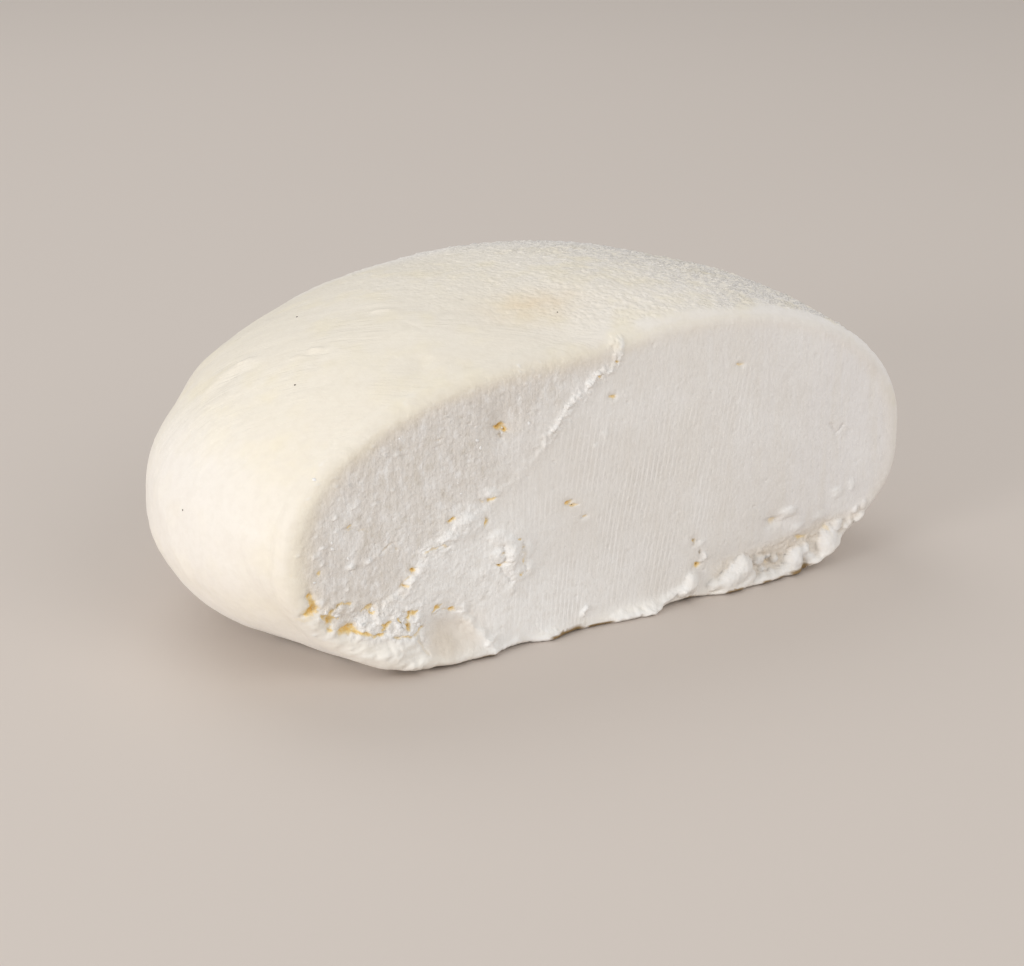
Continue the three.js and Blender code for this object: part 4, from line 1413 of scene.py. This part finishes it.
def build_stage(settings):
    scene = bpy.context.scene
    half = FLOOR_HALF_WIDTH
    floor_mesh = bpy.data.meshes.new("floor")
    corners = [(-half, -half, 0.0), (half, -half, 0.0), (half, half, 0.0), (-half, half, 0.0)]
    floor_mesh.from_pydata(corners, [], [(0, 1, 2, 3)])
    floor_mesh.materials.append(floor_material(scene.paneer_looks))
    floor = bpy.data.objects.new("floor", floor_mesh)
    scene.collection.objects.link(floor)

    world = bpy.data.worlds.new("studio")
    world.use_nodes = True
    world.node_tree.nodes["Background"].inputs["Color"].default_value = (1.0, 0.995, 0.985, 1.0)
    world.node_tree.nodes["Background"].inputs["Strength"].default_value = settings.sky_strength
    scene.world = world
    scene.view_settings.view_transform = "Standard"
    scene.view_settings.look = "None"
    scene.view_settings.exposure = 0.0

    add_lamp("key", *LAMPS["key"], settings.key_power)
    add_lamp("fill", *LAMPS["fill"], settings.fill_power)
    add_lamp("back", *LAMPS["back"], settings.back_power)

    camera = bpy.data.cameras.new("camera")
    camera.sensor_width = 36.0
    camera.lens = settings.lens
    holder = bpy.data.objects.new("camera", camera)
    scene.collection.objects.link(holder)
    target = Vector(settings.camera_target)
    back = outward(settings.camera_azimuth, settings.camera_elevation)
    holder.location = target + back * settings.camera_distance
    aim(holder, target)
    camera.clip_end = 20.0
    scene.camera = holder


# ---------------------------------------------------------------- what a user would change

def tone(name, words, value):
    return bpy.props.FloatVectorProperty(
        name=name, description=words, subtype="COLOR", size=3, min=0.0, max=1.0, default=value)


class PaneerLooks(bpy.types.PropertyGroup):
    rind_colour: tone("Rind", "Cream of the rind at the left", (0.853, 0.788, 0.680))
    rind_cool_colour: tone("Cool rind", "Rind towards the right end and the far side", (0.922, 0.886, 0.864))
    # Warm clouds of the rind, and painted shade in the weave's hollows and over the rounded rim.
    rind_warm_colour: tone("Warm rind", "Warmer clouds in the rind", (0.872, 0.797, 0.640))
    # Painted light: the rind made paler low down, against the shade near the floor.
    rind_foot_colour: tone("Foot", "Paler rind low at the left", (0.955, 0.932, 0.900))
    # Tan of dried whey, and painted shade along the rim of the cut, in the foot's hollows and in the dish.
    tan_colour: tone("Tan", "Tan of the rim of the cut and of its hollows", (0.740, 0.620, 0.470))
    stain_colour: tone("Stain", "Faint stain on the top", (0.860, 0.725, 0.540))
    cut_colour: tone("Cut", "Cut face at the middle and right", (0.834, 0.804, 0.768))
    cut_left_colour: tone("Left of the cut", "Duller curd left of the torn line", (0.764, 0.724, 0.680))
    cut_right_colour: tone("Right of the cut", "Cooler curd towards the right end", (0.836, 0.812, 0.800))
    cut_warm_colour: tone("Warm cut", "Warm drawn streaks of the cut", (0.812, 0.772, 0.718))
    cut_pale_colour: tone("Pale cut", "Pale clouds of the cut", (0.885, 0.868, 0.850))
    curd_colour: tone("Curd", "Fresh broken curd", (0.935, 0.924, 0.905))
    slab_colour: tone("Slab", "Creamier curd of the slumped lower left", (0.925, 0.880, 0.800))
    # Darker random tone over the whole cheese, and painted shade of the cut's pores.
    shade_colour: tone("Pores", "Tint of fine pores", (0.60, 0.54, 0.45))
    amber_colour: tone("Amber", "Whey dried in shallow cracks", (0.900, 0.695, 0.350))
    amber_deep_colour: tone("Deep amber", "Whey dried in deep cracks", (0.860, 0.565, 0.180))
    # Brown of the painted shadow line under the lower edge and of the painted shade in the deeper pits.
    brown_colour: tone("Brown", "Thin brown skin under the lower edge", (0.300, 0.200, 0.090))
    speck_colour: tone("Speck", "Dark specks in the rind", (0.080, 0.050, 0.030))
    floor_colour: tone("Floor", "Pale floor", (0.680, 0.610, 0.555))
    grain_smallest: bpy.props.FloatProperty(
        name="Smallest grain", description="Radius of the smallest grains on the cut", default=0.00022,
        min=0.0, unit="LENGTH", subtype="DISTANCE")
    grain_largest: bpy.props.FloatProperty(
        name="Largest grain", description="Radius of the largest grains on the cut", default=0.00062,
        min=0.0, unit="LENGTH", subtype="DISTANCE")
    crumb_largest: bpy.props.FloatProperty(
        name="Largest crumb", description="Radius of the largest crumbs", default=0.0011,
        min=0.0, unit="LENGTH", subtype="DISTANCE")


class PaneerStage(bpy.types.PropertyGroup):
    camera_azimuth: bpy.props.FloatProperty(
        name="Azimuth", description="Camera's turn about the cheese; zero looks straight at the cut",
        default=math.radians(-32.6), subtype="ANGLE")
    camera_elevation: bpy.props.FloatProperty(
        name="Elevation", description="Camera's height angle", default=math.radians(20.15), subtype="ANGLE")
    camera_distance: bpy.props.FloatProperty(
        name="Distance", description="Camera to target", default=0.5588, unit="LENGTH", subtype="DISTANCE")
    camera_target: bpy.props.FloatVectorProperty(
        name="Target", description="Point the camera looks at", default=(0.0014, -0.0181, 0.0227),
        subtype="XYZ", unit="LENGTH")
    lens: bpy.props.FloatProperty(
        name="Lens", description="Focal length in millimetres", default=78.75, min=1.0)
    key_power: bpy.props.FloatProperty(
        name="Key", description="Power of the low light at the left", default=4.9, min=0.0, unit="POWER")
    fill_power: bpy.props.FloatProperty(
        name="Fill", description="Power of the wide light in front", default=3.25, min=0.0, unit="POWER")
    back_power: bpy.props.FloatProperty(
        name="Back", description="Power of the weak light behind", default=2.8, min=0.0, unit="POWER")
    sky_strength: bpy.props.FloatProperty(
        name="Sky", description="Strength of the even light all round", default=0.57, min=0.0)


class PANEER_OT_body(bpy.types.Operator):
    """Build the cheese: rind, cut and base in one closed mesh"""
    bl_idname = "paneer.body"
    bl_label = "Cheese"

    def execute(self, context):
        build_body(cheese_material(context.scene.paneer_looks))
        return {"FINISHED"}


class PANEER_OT_grains(bpy.types.Operator):
    """Strew white grains and crumbs over the rough places of the cut"""
    bl_idname = "paneer.grains"
    bl_label = "Grains and crumbs"

    def execute(self, context):
        looks = context.scene.paneer_looks
        body = bpy.data.objects["paneer_body"]
        material = grain_material(looks)
        grains, crumbs = grain_shares(body)
        build_grains("cut_grains", body, grains, material, {
            "Most per square metre": GRAIN_DENSITY, "Smallest": looks.grain_smallest,
            "Largest": looks.grain_largest, "Seed": 7, "Thickness": 0.22})
        build_grains("foot_crumbs", body, crumbs, material, {
            "Most per square metre": CRUMB_DENSITY, "Smallest": looks.grain_smallest * 1.5,
            "Largest": looks.crumb_largest, "Seed": 19, "Thickness": 0.35})
        return {"FINISHED"}


class PANEER_OT_specks(bpy.types.Operator):
    """Set the few dark specks into the rind"""
    bl_idname = "paneer.specks"
    bl_label = "Specks"

    def execute(self, context):
        build_specks(bpy.data.objects["paneer_body"], speck_material(context.scene.paneer_looks))
        return {"FINISHED"}


class PANEER_OT_stage(bpy.types.Operator):
    """Set up the floor, the lights and the camera"""
    bl_idname = "paneer.stage"
    bl_label = "Stage"

    def execute(self, context):
        build_stage(context.scene.paneer_stage)
        return {"FINISHED"}


OPERATORS = (PANEER_OT_body, PANEER_OT_grains, PANEER_OT_specks, PANEER_OT_stage)


class PANEER_PT_panel(bpy.types.Panel):
    """Buttons that build each piece of the cheese"""
    bl_idname = "PANEER_PT_panel"
    bl_label = "Paneer"
    bl_space_type = "VIEW_3D"
    bl_region_type = "UI"
    bl_category = "Paneer"

    def draw(self, context):
        for operator in OPERATORS:
            self.layout.operator(operator.bl_idname)


CLASSES = (PaneerLooks, PaneerStage, *OPERATORS, PANEER_PT_panel)


def register():
    for one in CLASSES:
        bpy.utils.register_class(one)
    bpy.types.Scene.paneer_looks = bpy.props.PointerProperty(type=PaneerLooks)
    bpy.types.Scene.paneer_stage = bpy.props.PointerProperty(type=PaneerStage)


def unregister():
    del bpy.types.Scene.paneer_looks
    del bpy.types.Scene.paneer_stage
    for one in reversed(CLASSES):
        bpy.utils.unregister_class(one)


def main():
    register()
    bpy.ops.paneer.body()
    bpy.ops.paneer.grains()
    bpy.ops.paneer.specks()
    bpy.ops.paneer.stage()


if __name__ == "__main__":
    main()
